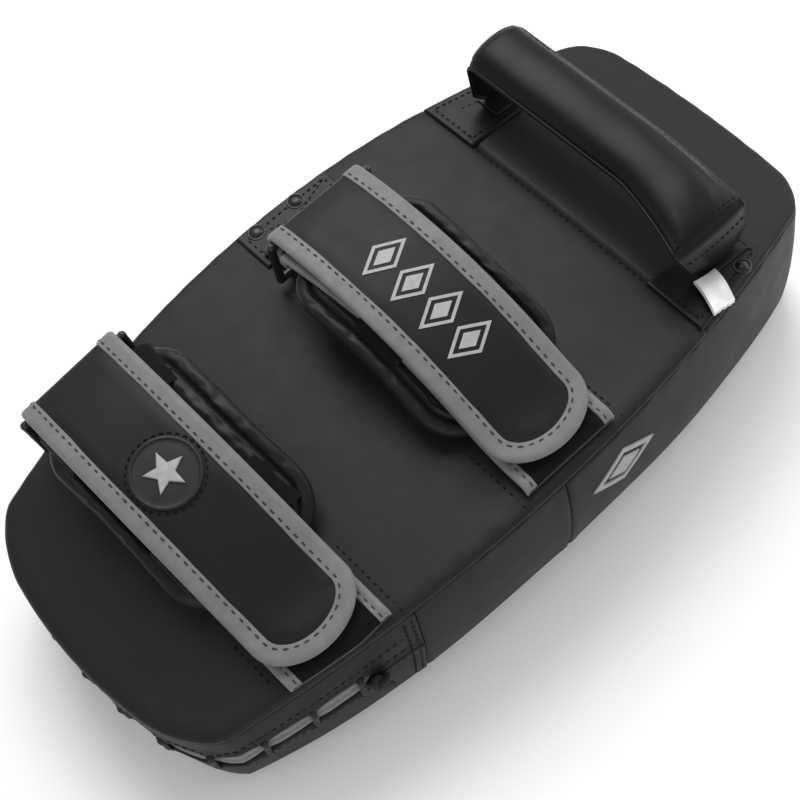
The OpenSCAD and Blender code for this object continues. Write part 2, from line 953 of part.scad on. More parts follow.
strike_panel();
back_panel(1, cross_seam);  // back_panel_main
back_panel(cross_seam, last_rung - 1);  // back_panel_top
gusset(flap_end, side_seam);  // gusset_right
gusset(-side_seam, -flap_end);  // gusset_left
gusset(side_seam, rim_count - side_seam);  // gusset_top
lace_flap_back();
lace_flap_strike();
lace_tongue();
lace_cord();
lace_knot();
foam_back();
foam_core();
foam_strike();
anchor_patch(lower_strap_y, lower_anchor_reach);  // anchor_patch_lower
anchor_patch(upper_strap_y, upper_anchor_reach);  // anchor_patch_upper
anchor_rivets();
ring_loop(lower_ring_x, lower_strap_y, 1, lower_loop_tail);  // ring_loop_lower
ring_loop(upper_ring_x, upper_strap_y, -1, upper_loop_tail);  // ring_loop_upper
strap_base(lower_ring_x, lower_strap_y, lower_base_run);  // strap_base_lower
strap_base(upper_ring_x, upper_strap_y, upper_base_run);  // strap_base_upper
loop_face(lower_ring_x, lower_strap_y, lower_base_run);  // loop_face_lower
loop_face(upper_ring_x, upper_strap_y, upper_base_run);  // loop_face_upper
base_binding(lower_ring_x, lower_strap_y, lower_base_run);  // base_binding_lower
base_binding(upper_ring_x, upper_strap_y, upper_base_run);  // base_binding_upper
handle_patch(-1);  // handle_patch_left
handle_patch(1);  // handle_patch_right
handle_rivets();
handle_feet();
wash_label();
on_back(lower_strap_y) ring(lower_ring_x);  // ring_lower
on_back(upper_strap_y) ring(upper_ring_x);  // ring_upper
flap_cover(lower_ring_x, lower_strap_y, lower_tip_run);  // flap_cover_lower
flap_binding(lower_ring_x, lower_strap_y, lower_tip_run);  // flap_binding_lower
flap_hook(lower_ring_x, lower_strap_y, lower_tip_run);  // flap_hook_lower
badge_disc();
flap_cover(upper_ring_x, upper_strap_y, upper_tip_run);  // flap_cover_upper
flap_binding(upper_ring_x, upper_strap_y, upper_tip_run);  // flap_binding_upper
flap_hook(upper_ring_x, upper_strap_y, upper_tip_run);  // flap_hook_upper
cushion_cover(lower_ring_x, lower_cushion, lower_strap_y);  // cushion_cover_lower
cushion_foam(lower_ring_x, lower_cushion, lower_strap_y);  // cushion_foam_lower
cushion_keepers(lower_ring_x, lower_strap_y, lower_keeper_angles);  // cushion_keepers_lower
cushion_cover(upper_ring_x, upper_cushion, upper_strap_y);  // cushion_cover_upper
cushion_foam(upper_ring_x, upper_cushion, upper_strap_y);  // cushion_foam_upper
cushion_keepers(upper_ring_x, upper_strap_y, upper_keeper_angles);  // cushion_keepers_upper
handle_cover();
handle_foam();
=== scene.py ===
"""Looks of the curved thai pad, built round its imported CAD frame.

Lengths in this script are in mm and turn into metres when a mesh is made.
"""

import math

import bmesh
import bpy
import numpy as np
from mathutils import Matrix, Vector


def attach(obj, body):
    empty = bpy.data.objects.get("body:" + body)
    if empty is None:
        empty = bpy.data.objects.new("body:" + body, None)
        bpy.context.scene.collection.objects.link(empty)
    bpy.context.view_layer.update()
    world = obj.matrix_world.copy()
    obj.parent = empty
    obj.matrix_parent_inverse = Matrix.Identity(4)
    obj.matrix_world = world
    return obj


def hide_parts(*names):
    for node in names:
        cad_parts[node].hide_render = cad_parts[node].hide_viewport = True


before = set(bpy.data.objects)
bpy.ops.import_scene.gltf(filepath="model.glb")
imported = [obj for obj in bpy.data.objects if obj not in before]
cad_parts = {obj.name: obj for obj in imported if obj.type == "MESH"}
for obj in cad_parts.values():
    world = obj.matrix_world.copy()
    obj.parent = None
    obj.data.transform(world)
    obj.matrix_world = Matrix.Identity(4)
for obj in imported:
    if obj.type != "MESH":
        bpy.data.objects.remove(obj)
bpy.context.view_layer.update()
scene = bpy.context.scene
MM = 0.001

# ---- The CAD model's measures, in mm ----

HALF = 195.0
MID_W, TOP_W, BOTTOM_W = 100.0, 68.0, 71.0
BOTTOM_DEPTH, TOP_DEPTH = 61.0, 75.0
CROWN, PUFF = 18.5, 2.5
COVER_T, SKIN_GAP = 2.0, 0.2
TOP_CORNER, BOTTOM_CORNER, CORNER_WEIGHT = 18.0, 25.0, 0.75
TOP_BOW, BOTTOM_BOW = 4.0, 10.7
SLOT_END_Y, FLAP_END_Y, SIDE_SEAM_Y, CROSS_SEAM_Y = -103.0, -80.0, 4.0, 100.0
WALL_BULGE, END_FLATNESS, EDGE_RADIUS = 3.0, 0.8, 7.0
TOE_IN, TOE_START, LAND_START = 8.0, 60.0, 172.0

SLOT_SHARE, SLOT_HEIGHT = 0.46, 12.0
CROSSINGS, LACE_HIDDEN = 13, -3.4
TONGUE_OUT, TONGUE_T = -5.2, 1.2
KNOT_R = 4.4

STRAP_W, ARCH_R, ARCH_H, ARCH_LEAD, ARCH_END = 53.0, 195.0, 39.0, 36.0, 27.0
LOWER = {"tag": "lower", "ring_x": -79.0, "yc": -113.0, "tip_run": 17.0, "base_run": 23.0,
         "cushion": (-9.2, 27.5), "shift": 4.0, "keepers": (-4.0, 19.0), "skew": 0.0,
         "anchor_reach": 34.0, "rivet_inset": 25.0, "loop_way": 1, "loop_tail": 7.0}
UPPER = {"tag": "upper", "ring_x": -62.0, "yc": 13.0, "tip_run": 7.0, "base_run": 10.0,
         "cushion": (-7.4, 28.2), "shift": 0.0, "keepers": (10.4,), "skew": 3.5,
         "anchor_reach": 26.0, "rivet_inset": 7.0, "loop_way": -1, "loop_tail": 20.0}
RING_WIRE, RING_LOW_H = 4.0, 7.6
FLAP_T, WRAP_TAIL, BASE_SKIP = 2.0, 3.5, 7.2
WRAP_R = RING_WIRE / 2 + 0.6 + FLAP_T / 2
BASE_LOW, BASE_MID, LOOP_TOP, BASE_HALF = -6.9, -5.3, -4.5, 25.5
KEEPER_W = 27.0
TIP_TURN_R, TIP_RISE, TIP_LENGTH = 60.0, 22.0, 20.0
CUSHION_MID, CUSHION_W, CUSHION_CORNER = -11.4, 76.0, 24.0
BADGE_R, BADGE_ANGLE = 16.2, 9.6

HANDLE_Y, HANDLE_LENGTH, HANDLE_W, HANDLE_H = 132.0, 152.0, 31.0, 38.0
ROLL_T, TAB_T, HANDLE_BASE_H, TAB_LEAN, BEND_R = 15.0, 3.2, 4.6, 8.0, 12.0
PATCH_NEAR, PATCH_FAR, PATCH_INNER, PATCH_TOP = 98.0, 149.0, 56.0, 1.6
ANCHOR_HALF = 27.0

# ---- Camera, first of all ----

VIEW_TURN, VIEW_RISE, VIEW_ROLL = (math.radians(v) for v in (57.61, 60.76, 11.77))
VIEW_PLACE = (0.3523, -0.2235, 0.7452)
LENS, SHIFT_X, SHIFT_Y = 79.0, -0.0235, 0.0495


def add_camera():
    a, e, r = VIEW_TURN, VIEW_RISE, VIEW_ROLL
    back = Vector((math.sin(a) * math.cos(e), -math.cos(a) * math.cos(e), math.sin(e)))
    right = Vector((math.cos(a), math.sin(a), 0))
    up = back.cross(right)
    x = right * math.cos(r) - up * math.sin(r)
    y = right * math.sin(r) + up * math.cos(r)
    data = bpy.data.cameras.new("camera")
    data.lens, data.shift_x, data.shift_y = LENS, SHIFT_X, SHIFT_Y
    data.sensor_width, data.clip_start, data.clip_end = 36.0, 0.05, 20
    camera = bpy.data.objects.new("camera", data)
    scene.collection.objects.link(camera)
    turn = Matrix((x, y, back)).transposed().to_4x4()
    camera.matrix_world = Matrix.Translation(VIEW_PLACE) @ turn
    scene.camera = camera
    scene.view_settings.view_transform = "Standard"


add_camera()

# ---- Materials ----


class Nodes:
    """A material's node tree, with short ways to add what the finishes here share."""

    def __init__(self, name):
        self.material = bpy.data.materials.new(name)
        self.material.use_nodes = True
        self.tree = self.material.node_tree
        self.shader = self.tree.nodes["Principled BSDF"]
        self.place = self.add("ShaderNodeTexCoord").outputs["Object"]

    def add(self, kind, **values):
        node = self.tree.nodes.new(kind)
        for key, value in values.items():
            if key in node.inputs:
                node.inputs[key].default_value = value
            else:
                setattr(node, key, value)
        return node

    def link(self, a, b):
        self.tree.links.new(a, b)

    def noise(self, size_mm, detail=4.0, rough=0.55):
        node = self.add("ShaderNodeTexNoise", Scale=1 / (size_mm * MM), Detail=detail,
                        Roughness=rough)
        self.link(self.place, node.inputs["Vector"])
        return node.outputs["Fac"]

    def cells(self, size_mm, feature="DISTANCE_TO_EDGE"):
        node = self.add("ShaderNodeTexVoronoi", feature=feature, Scale=1 / (size_mm * MM))
        self.link(self.place, node.inputs["Vector"])
        return node.outputs["Distance"]

    def wave(self, size_mm, direction, distortion=0.0):
        node = self.add("ShaderNodeTexWave", bands_direction=direction,
                        Scale=0.314 / (size_mm * MM), Distortion=distortion)
        self.link(self.place, node.inputs["Vector"])
        return node.outputs["Fac"]

    def multiply(self, a, b):
        node = self.add("ShaderNodeMath", operation="MULTIPLY")
        self.link(a, node.inputs[0])
        self.link(b, node.inputs[1])
        return node.outputs[0]

    def spread(self, fac, low, high, start=0.3, end=0.7):
        node = self.add("ShaderNodeMapRange")
        node.inputs["From Min"].default_value = start
        node.inputs["From Max"].default_value = end
        node.inputs["To Min"].default_value = low
        node.inputs["To Max"].default_value = high
        self.link(fac, node.inputs["Value"])
        return node.outputs["Result"]

    def ramp(self, fac, first, last, start=0.3, end=0.7):
        node = self.add("ShaderNodeValToRGB")
        for element, place, colour in zip(node.color_ramp.elements, (start, end), (first, last)):
            element.position = place
            element.color = (*colour, 1)
        self.link(fac, node.inputs["Fac"])
        return node.outputs["Color"]

    def worn(self, colour, worn_colour, amount):
        """Lightens the outer edges, where the finish has rubbed"""
        edges = self.add("ShaderNodeNewGeometry").outputs["Pointiness"]
        fac = self.multiply(self.spread(edges, 0, amount, 0.51, 0.6),
                            self.spread(self.noise(5), 0.4, 1))
        mix = self.add("ShaderNodeMix", data_type="RGBA")
        self.link(fac, mix.inputs["Factor"])
        self.link(colour, mix.inputs["A"])
        mix.inputs["B"].default_value = (*worn_colour, 1)
        return mix.outputs["Result"]

    def bumps(self, *layers):
        """Stacks bump maps: each layer is (height output, depth in mm, strength)"""
        normal = None
        for height, depth, strength in layers:
            node = self.add("ShaderNodeBump", Strength=strength, Distance=depth * MM)
            self.link(height, node.inputs["Height"])
            if normal:
                self.link(normal, node.inputs["Normal"])
            normal = node.outputs["Normal"]
        self.link(normal, self.shader.inputs["Normal"])

    def finish(self, colour, rough, **constants):
        self.link(colour, self.shader.inputs["Base Color"])
        self.link(rough, self.shader.inputs["Roughness"])
        for key, value in constants.items():
            self.shader.inputs[key.replace("_", " ")].default_value = value
        return self.material


def grey(value, tint=(1.0, 1.0, 1.0)):
    return tuple(value * t for t in tint)


COOL = (0.97, 1.0, 1.05)


def leather(name, shade, rough, grain=0.9, depth=0.05, wear=0.25, specular=0.19):
    n = Nodes(name)
    tone = n.ramp(n.noise(38), grey(shade * 0.94, COOL), grey(shade * 1.07, COOL))
    colour = n.worn(tone, grey(shade * 2.2, COOL), wear)
    n.bumps((n.cells(grain), depth, 0.55), (n.noise(0.35, 2), 0.02, 0.4),
            (n.noise(9), 0.12, 0.25))
    return n.finish(colour, n.spread(n.noise(14), rough - 0.03, rough + 0.04),
                    Specular_IOR_Level=specular, Sheen_Weight=0.02, Sheen_Roughness=0.5)


def tape(name, shade, rough=0.62):
    """Folded binding: fine woven ribs under a matt coat"""
    n = Nodes(name)
    tone = n.ramp(n.noise(7), grey(shade * 0.88), grey(shade * 1.1))
    colour = n.worn(tone, grey(shade * 1.35), 0.3)
    weave = n.multiply(n.wave(0.55, "X"), n.wave(0.55, "Y"))
    n.bumps((weave, 0.05, 0.35), (n.noise(2.2), 0.12, 0.35))
    return n.finish(colour, n.spread(n.noise(4), rough - 0.08, rough + 0.08), Sheen_Weight=0.15,
                    Sheen_Roughness=0.5)


def webbing(name, shade):
    n = Nodes(name)
    weave = n.multiply(n.wave(1.1, "X", 0.6), n.wave(1.6, "Y", 0.6))
    colour = n.ramp(weave, grey(shade * 0.5), grey(shade * 1.5), 0.0, 1.0)
    n.bumps((weave, 0.25, 0.7), (n.noise(0.3), 0.05, 0.4))
    return n.finish(colour, n.spread(n.noise(5), 0.62, 0.8), Sheen_Weight=0.2)


def pile(name, shade, size=0.45, depth=0.5):
    """Brushed loops: deep fine fuzz with a soft sheen"""
    n = Nodes(name)
    colour = n.ramp(n.noise(size, 6, 0.7), grey(shade * 0.3), grey(shade * 2.0), 0.35, 0.7)
    n.bumps((n.noise(size, 5, 0.75), depth, 0.6), (n.cells(size * 2, "F1"), depth * 0.5, 0.4))
    return n.finish(colour, n.spread(n.noise(3), 0.85, 1.0), Sheen_Weight=0.08,
                    Sheen_Roughness=0.35, Specular_IOR_Level=0.15)


def cloth(name, shade, pitch=0.6, rough=0.8, sheen=0.3, tint=(1.0, 1.0, 1.0)):
    n = Nodes(name)
    weave = n.multiply(n.wave(pitch, "X"), n.wave(pitch, "Z"))
    tone = n.ramp(n.noise(6), grey(shade * 0.85, tint), grey(shade * 1.12, tint))
    n.bumps((weave, 0.08, 0.6), (n.noise(3), 0.2, 0.4))
    return n.finish(tone, n.spread(n.noise(4), rough - 0.07, rough + 0.07), Sheen_Weight=sheen,
                    Sheen_Roughness=0.4)


def cast(name, shade, rough, metallic=0.0, grain=0.6, wear=0.4, specular=0.5):
    """Metal or rubber: fine grain, light handling marks, rubbed edges"""
    n = Nodes(name)
    tone = n.ramp(n.noise(5), grey(shade * 0.85), grey(shade * 1.15))
    colour = n.worn(tone, grey(min(shade * 1.9, 0.9)), wear)
    n.bumps((n.noise(grain, 6, 0.7), 0.015, 0.5), (n.noise(4), 0.06, 0.3))
    return n.finish(colour, n.spread(n.noise(2.5), rough - 0.08, rough + 0.1), Metallic=metallic,
                    Specular_IOR_Level=specular)


def foam(name, shade, tint):
    n = Nodes(name)
    colour = n.ramp(n.cells(1.4), grey(shade * 0.7, tint), grey(shade * 1.1, tint), 0.0, 0.4)
    n.bumps((n.cells(1.4), 0.4, 0.8), (n.noise(0.6), 0.1, 0.5))
    return n.finish(colour, n.spread(n.noise(6), 0.88, 1.0))


def thread(name, shade):
    n = Nodes(name)
    twist = n.wave(0.35, "DIAGONAL")
    colour = n.ramp(twist, grey(shade * 0.7), grey(shade * 1.3), 0.0, 1.0)
    n.bumps((twist, 0.08, 0.7))
    return n.finish(colour, n.spread(n.noise(2), 0.6, 0.8), Sheen_Weight=0.03,
                    Specular_IOR_Level=0.12)


def printed(name, shade):
    """Printed film: faint cracks and an uneven edge of gloss"""
    n = Nodes(name)
    colour = n.ramp(n.noise(3), grey(shade * 0.9), grey(shade * 1.08))
    n.bumps((n.cells(0.9), 0.03, 0.4))
    return n.finish(colour, n.spread(n.noise(5), 0.5, 0.65))


COVER = leather("cover_leather", 0.0085, 0.50)
WALL = leather("wall_leather", 0.004, 0.52)
STRIKE = leather("strike_leather", 0.008, 0.48, grain=1.2)
STRAP = leather("strap_leather", 0.0055, 0.48, grain=0.7)
CUSHION = leather("cushion_leather", 0.0055, 0.44, grain=0.7)
HANDLE = leather("handle_leather", 0.003, 0.40, grain=0.7, specular=0.16)
PATCH = leather("patch_leather", 0.003, 0.40, grain=0.7, specular=0.2)
BINDING = tape("binding_tape", 0.125)
WEBBING = webbing("webbing_black", 0.006)
LOOP_PILE = pile("loop_pile", 0.0032)
KEEPER_PILE = pile("keeper_pile", 0.003)
HOOKS = pile("hook_tape", 0.010, size=0.9, depth=0.7)
TONGUE = cloth("tongue_fabric", 0.12)
LACE = cloth("lace_braid", 0.004, pitch=0.9, sheen=0.08)
FOAM = foam("foam_cream", 0.62, (1.0, 0.96, 0.82))
STRIKE_FOAM = foam("foam_grey", 0.06, (1.0, 1.0, 1.04))
RING = cast("ring_metal", 0.012, 0.34, specular=0.35)
RIVET = cast("rivet_metal", 0.006, 0.3, specular=0.35)
RUBBER = cast("badge_rubber", 0.010, 0.5, specular=0.3)
LABEL = cloth("label_satin", 0.78, pitch=0.35, rough=0.45, sheen=0.2)
THREAD_DARK = thread("thread_dark", 0.002)
THREAD_GREY = thread("thread_grey", 0.03)
PRINT = printed("print_grey", 0.30)

# ---- Mesh tools ----


def quads(rows, cols, start=0, close_rows=False, close_cols=False):
    found = []
    for i in range(rows if close_rows else rows - 1):
        for j in range(cols if close_cols else cols - 1):
            a, b = start + i * cols, start + (i + 1) % rows * cols
            k = (j + 1) % cols
            found.append((a + j, a + k, b + k, b + j))
    return found


def merge(parts):
    points, faces, start = [], [], 0
    for p, f in parts:
        points.append(p)
        faces += [tuple(start + i for i in face) for face in f]
        start += len(p)
    return np.concatenate(points), faces


def shell(outer, inner, close_rows=False):
    """Closed solid between two grids of points"""
    rows, cols = outer.shape[:2]
    count = rows * cols
    faces = quads(rows, cols, 0, close_rows) + quads(rows, cols, count, close_rows)
    edge = [i * cols for i in range(rows)]
    far = [i * cols + cols - 1 for i in range(rows)]
    borders = [edge, far] if close_rows else [edge, far, list(range(cols)),
                                              list(range(count - cols, count))]
    for line in borders:
        pairs = list(zip(line, line[1:]))
        if close_rows:
            pairs.append((line[-1], line[0]))
        faces += [(a, b, b + count, a + count) for a, b in pairs]
    return np.concatenate([outer.reshape(-1, 3), inner.reshape(-1, 3)]), faces


def sweep(sections, closed=False):
    """Skin over closed sections, with flat caps unless it runs back into itself"""
    n, m = sections.shape[:2]
    faces = quads(n, m, 0, closed, True)
    if not closed:
        faces += [tuple(range(m)), tuple(range((n - 1) * m, n * m))]
    return sections.reshape(-1, 3), faces


def unit(v):
    return v / np.maximum(np.linalg.norm(v, axis=-1, keepdims=True), 1e-9)


def lozenge(count):
    """Points round a lozenge whose four tips are at 1"""
    corner = np.linspace(0, 4, count + 1)[:-1]
    side, f = np.floor(corner).astype(int), (corner % 1)[:, None]
    tips = np.array([(1, 0), (0, 1), (-1, 0), (0, -1), (1, 0)], float)
    return tips[side] * (1 - f) + tips[side + 1] * f


def tangents(route, closed=False):
    if closed:
        return unit(np.roll(route, -1, 0) - np.roll(route, 1, 0))
    return unit(np.gradient(route, axis=0))


def tube(route, radius, normals, sides=10, closed=False, flat=1.0):
    """Round cord along a route; normals steady it and flat squeezes it along them"""
    t = tangents(route, closed)
    side = unit(np.cross(t, normals))
    up = np.cross(side, t)
    angle = np.linspace(0, 2 * math.pi, sides, endpoint=False)
    radius = np.broadcast_to(np.asarray(radius, float), len(route))[:, None, None]
    ring = (np.cos(angle)[None, :, None] * side[:, None]
            + flat * np.sin(angle)[None, :, None] * up[:, None])
    return sweep(route[:, None] + radius * ring, closed)


def resample(route, step):
    """Points at even distances along a polyline"""
    s = np.concatenate([[0], np.cumsum(np.linalg.norm(np.diff(route, axis=0), axis=1))])
    n = max(2, int(round(s[-1] / step)) + 1)
    at = np.linspace(0, s[-1], n)
    return np.stack([np.interp(at, s, route[:, k]) for k in range(route.shape[1])], 1)


STITCH_ALONG = np.array([-0.5, -0.42, -0.2, 0.2, 0.42, 0.5])
STITCH_THICK = np.array([0.25, 0.75, 1.0, 1.0, 0.75, 0.25])
STITCH_RISE = np.array([-0.9, -0.1, 0.25, 0.25, -0.1, -0.9])


# A row's stitch: its length, the gap to the next, its half width and half height
PATCH_STITCH = (2.2, 1.2, 0.42, 0.3)
BINDING_STITCH = (2.7, 1.9, 0.42, 0.22)
BASE_STITCH = (2.6, 1.8, 0.4, 0.25)
BADGE_STITCH = (2.3, 1.2, 0.45, 0.42)
CUSHION_STITCH = (2.4, 1.3, 0.42, 0.35)
GRIP_STITCH = (2.3, 1.5, 0.36, 0.12)
HEM_STITCH = (2.1, 1.1, 0.42, 0.35)
CROSS_SEAM_STITCH = (2.2, 2.0, 0.5, 0.3)
BESIDE_STRAP_STITCH = (2.2, 1.6, 0.45, 0.3)
SLOT_STITCH = (2.6, 1.4, 0.42, 0.3)
FLAP_END_STITCH = (2.4, 1.3, 0.42, 0.3)
WALL_STITCH = (2.6, 1.2, 0.4, 0.28)


def stitches(route, normals, length, gap, width, height):
    """Row of thread stitches on a route: (points, faces). Each end dives into the surface"""
    route = np.asarray(route, float)
    normals = np.broadcast_to(np.asarray(normals, float), route.shape)
    s = np.concatenate([[0], np.cumsum(np.linalg.norm(np.diff(route, axis=0), axis=1))])
    count = max(1, int(s[-1] / (length + gap)))
    at = (np.arange(count) + 0.5) * s[-1] / count

    def spot(d):
        return np.stack([np.interp(d, s, route[:, k]) for k in range(3)], 1)

    middle = spot(at)
    t = unit(spot(np.minimum(at + 1, s[-1])) - spot(np.maximum(at - 1, 0)))
    n = unit(np.stack([np.interp(at, s, normals[:, k]) for k in range(3)], 1))
    side = unit(np.cross(n, t))
    angle = np.linspace(0, 2 * math.pi, 6, endpoint=False)
    x = np.repeat(STITCH_ALONG * length, 6)
    y = np.outer(STITCH_THICK * width, np.cos(angle)).ravel()
    z = (np.outer(STITCH_THICK * height, np.sin(angle)) + STITCH_RISE[:, None] * height).ravel()
    points = (middle[:, None] + x[None, :, None] * t[:, None] + y[None, :, None] * side[:, None]
              + z[None, :, None] * n[:, None])
    one = quads(6, 6, 0, False, True) + [tuple(range(6)), tuple(range(30, 36))]
    faces = [tuple(k * 36 + i for i in face) for k in range(count) for face in one]
    return points.reshape(-1, 3), faces


def set_up(name, body, finish, mesh, replaces=(), thickness=0.0):
    """Makes a mesh a piece: its finish, its wall, its body and what it stands for"""
    mesh.materials.append(finish)
    obj = bpy.data.objects.new(name, mesh)
    scene.collection.objects.link(obj)
    if thickness:
        wall = obj.modifiers.new("thickness", "SOLIDIFY")
        wall.thickness, wall.offset = thickness * MM, -1
    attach(obj, body)
    if replaces:
        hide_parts(*replaces)
    return obj


def build(name, body, finish, mesh_data, sharp=48, replaces=()):
    """Makes a piece from (points, faces); edges turning more than sharp degrees stay crisp"""
    points, faces = mesh_data
    mesh = bpy.data.meshes.new(name)
    mesh.from_pydata((np.asarray(points) * MM).tolist(), [], faces)
    work = bmesh.new()
    work.from_mesh(mesh)
    bmesh.ops.remove_doubles(work, verts=work.verts, dist=1e-6)
    bmesh.ops.recalc_face_normals(work, faces=work.faces)
    work.to_mesh(mesh)
    work.free()
    mesh.shade_smooth()
    mesh.set_sharp_from_angle(angle=math.radians(sharp))
    return set_up(name, body, finish, mesh, replaces)


def wobble(x, y, size, seed=0.0):
    """Smooth irregular wave between about -1 and 1 with features of that size"""
    a, b = x / size + seed, y / size - seed
    return (np.sin(2.1 * a + 1.7 * np.sin(1.3 * b + seed))
            + np.sin(1.9 * b + 1.5 * np.sin(1.7 * a - seed))) / 2


def roll_off(d, r):
    """Drop of a rounded edge of radius r at distance d inside it"""
    k = np.clip(r - d, 0, r)
    return r - np.sqrt(r * r - k * k)


def bell(d, size):
    return np.exp(-(d / size) ** 2)


# ---- The pad's outline and heights ----


def side_x(y):
    end = np.where(np.asarray(y) > 0, TOP_W, BOTTOM_W)
    return MID_W - (MID_W - end) * (np.asarray(y) / HALF) ** 2


def back_z(y):
    share = np.asarray(y) / HALF
    return ((BOTTOM_DEPTH + TOP_DEPTH) / 2 + (TOP_DEPTH - BOTTOM_DEPTH) / 2 * share
            + CROWN * (1 - share**2))


def back_slope(y):
    return math.atan((TOP_DEPTH - BOTTOM_DEPTH) / (2 * HALF) - 2 * CROWN * y / HALF**2)


def strike_z(y):
    share = np.minimum(np.abs(np.asarray(y)) / LAND_START, 1)
    return CROWN * (1 - share**2) ** 1.5


def surface_z(x, y):
    share = np.clip(np.asarray(x) / side_x(y), -1, 1)
    return back_z(y) + PUFF * (1 - share**2) * (1 - (np.asarray(y) / HALF) ** 4)


def lean(y):
    return TOE_IN * (np.maximum(-np.asarray(y) - TOE_START, 0) / (HALF - TOE_START)) ** 2


def conic(a, c, b, n):
    t = np.linspace(0, 1, n)[:, None]
    u, m = 1 - t, 2 * CORNER_WEIGHT * t * (1 - t)
    a, b, c = (np.asarray(v, float) for v in (a, b, c))
    return (u * u * a + m * c + t * t * b) / (u * u + m + t * t)


def plan_line():
    """Right half of the outline, from the laced end's middle to the handle end's middle"""
    def end(x, y, bow, width):
        return np.stack([x, y - np.sign(y) * bow * (x / width) ** 2], -1)

    inner_b, inner_t = BOTTOM_W - BOTTOM_CORNER, TOP_W - TOP_CORNER
    low, high = -HALF + BOTTOM_CORNER, HALF - TOP_CORNER
    ys = np.linspace(low, high, 300)
    bottom = end(np.linspace(0, inner_b, 40), -HALF, BOTTOM_BOW, BOTTOM_W)
    top = end(np.linspace(inner_t, 0, 40), HALF, TOP_BOW, TOP_W)
    corner_b = conic(bottom[-1], end(np.array(BOTTOM_W), -HALF, BOTTOM_BOW, BOTTOM_W),
                     (float(side_x(low)), low), 40)
    corner_t = conic((float(side_x(high)), high), end(np.array(TOP_W), HALF, TOP_BOW, TOP_W),
                     top[0], 40)
    side = np.stack([side_x(ys), ys], 1)
    return resample(np.concatenate([bottom, corner_b[1:], side[1:], corner_t[1:], top[1:]]), 0.5)


PLAN = plan_line()
PLAN_S = np.concatenate([[0], np.cumsum(np.linalg.norm(np.diff(PLAN, axis=0), axis=1))])
HALF_ROUND = PLAN_S[-1]


def rim_spot(s):
    s = (np.asarray(s, float) + HALF_ROUND) % (2 * HALF_ROUND) - HALF_ROUND
    x = np.interp(np.abs(s), PLAN_S, PLAN[:, 0]) * np.where(s < 0, -1, 1)
    return np.stack([x, np.interp(np.abs(s), PLAN_S, PLAN[:, 1])], -1)


def rim(s):
    """Places on the outline at distance s from the laced end's middle, and outward normals"""
    step = rim_spot(np.asarray(s) + 1.5) - rim_spot(np.asarray(s) - 1.5)
    d = unit(step)
    return rim_spot(s), np.stack([d[..., 1], -d[..., 0]], -1)


def rim_s(y):
    return float(np.interp(y, PLAN[:, 1], PLAN_S))


def wall_height(s):
    y = rim_spot(s)[..., 1]
    return back_z(y) - COVER_T - SKIN_GAP - strike_z(y) - EDGE_RADIUS


def wall_at(s, u, out):
    """Side wall: u runs 0 to 1 down it and 1 to 2 round the strike edge; out is proud of it"""
    p, n = rim(s)
    y = p[..., 1]
    foot = strike_z(y) + EDGE_RADIUS
    head = back_z(y) - COVER_T - SKIN_GAP
    turn = np.clip(u - 1, 0, 1) * math.pi / 2
    v = np.minimum(u, 1)
    bulge = WALL_BULGE * (1 - END_FLATNESS * np.abs(n[..., 1]))
    reach = EDGE_RADIUS + out
    push = bulge * 4 * v * (1 - v) - lean(y) * v + out - reach * (1 - np.cos(turn))
    q = p + n * push[..., None]
    z = head + (foot - head) * v - reach * np.sin(turn)
    return np.concatenate([q, z[..., None]], -1)


def wall_normal(s, u):
    return unit(wall_at(s, u, np.ones(len(s))) - wall_at(s, u, np.zeros(len(s))))


# ---- Pad covers ----

SEAM_CUTS = [CROSS_SEAM_Y + d for d in (-3.5, -2, -1, -0.4, 0.4, 1, 2, 3.5)]
RIM_ROWS = [0, 0.3, 0.7, 1.2, 1.9, 2.8, 4, 5.6, 8, 11.5]


def panel_grid(inset, spine_low, spine_high, columns=380, inner_rows=13):
    """Flat grid over the outline set in by inset(y): its rows close in on a spine"""
    s = np.linspace(-HALF_ROUND, HALF_ROUND, columns, endpoint=False)
    p, n = rim(s)
    edge = p - n * inset(p[:, 1])[:, None]
    spine = np.stack([np.zeros(columns), np.clip(edge[:, 1], spine_low, spine_high)], 1)
    reach = np.linalg.norm(edge - spine, axis=1)
    shares = [d / reach for d in RIM_ROWS]
    shares += [shares[-1] + (1 - shares[-1]) * k / inner_rows for k in range(1, inner_rows + 1)]
    return np.stack([edge + (spine - edge) * f[:, None] for f in shares]), s


def bisect(work, y, keep=0):
    geometry = [*work.verts, *work.edges, *work.faces]
    bmesh.ops.bisect_plane(work, geom=geometry, plane_co=(0, y, 0), plane_no=(0, 1, 0),
                           clear_outer=keep < 0, clear_inner=keep > 0)


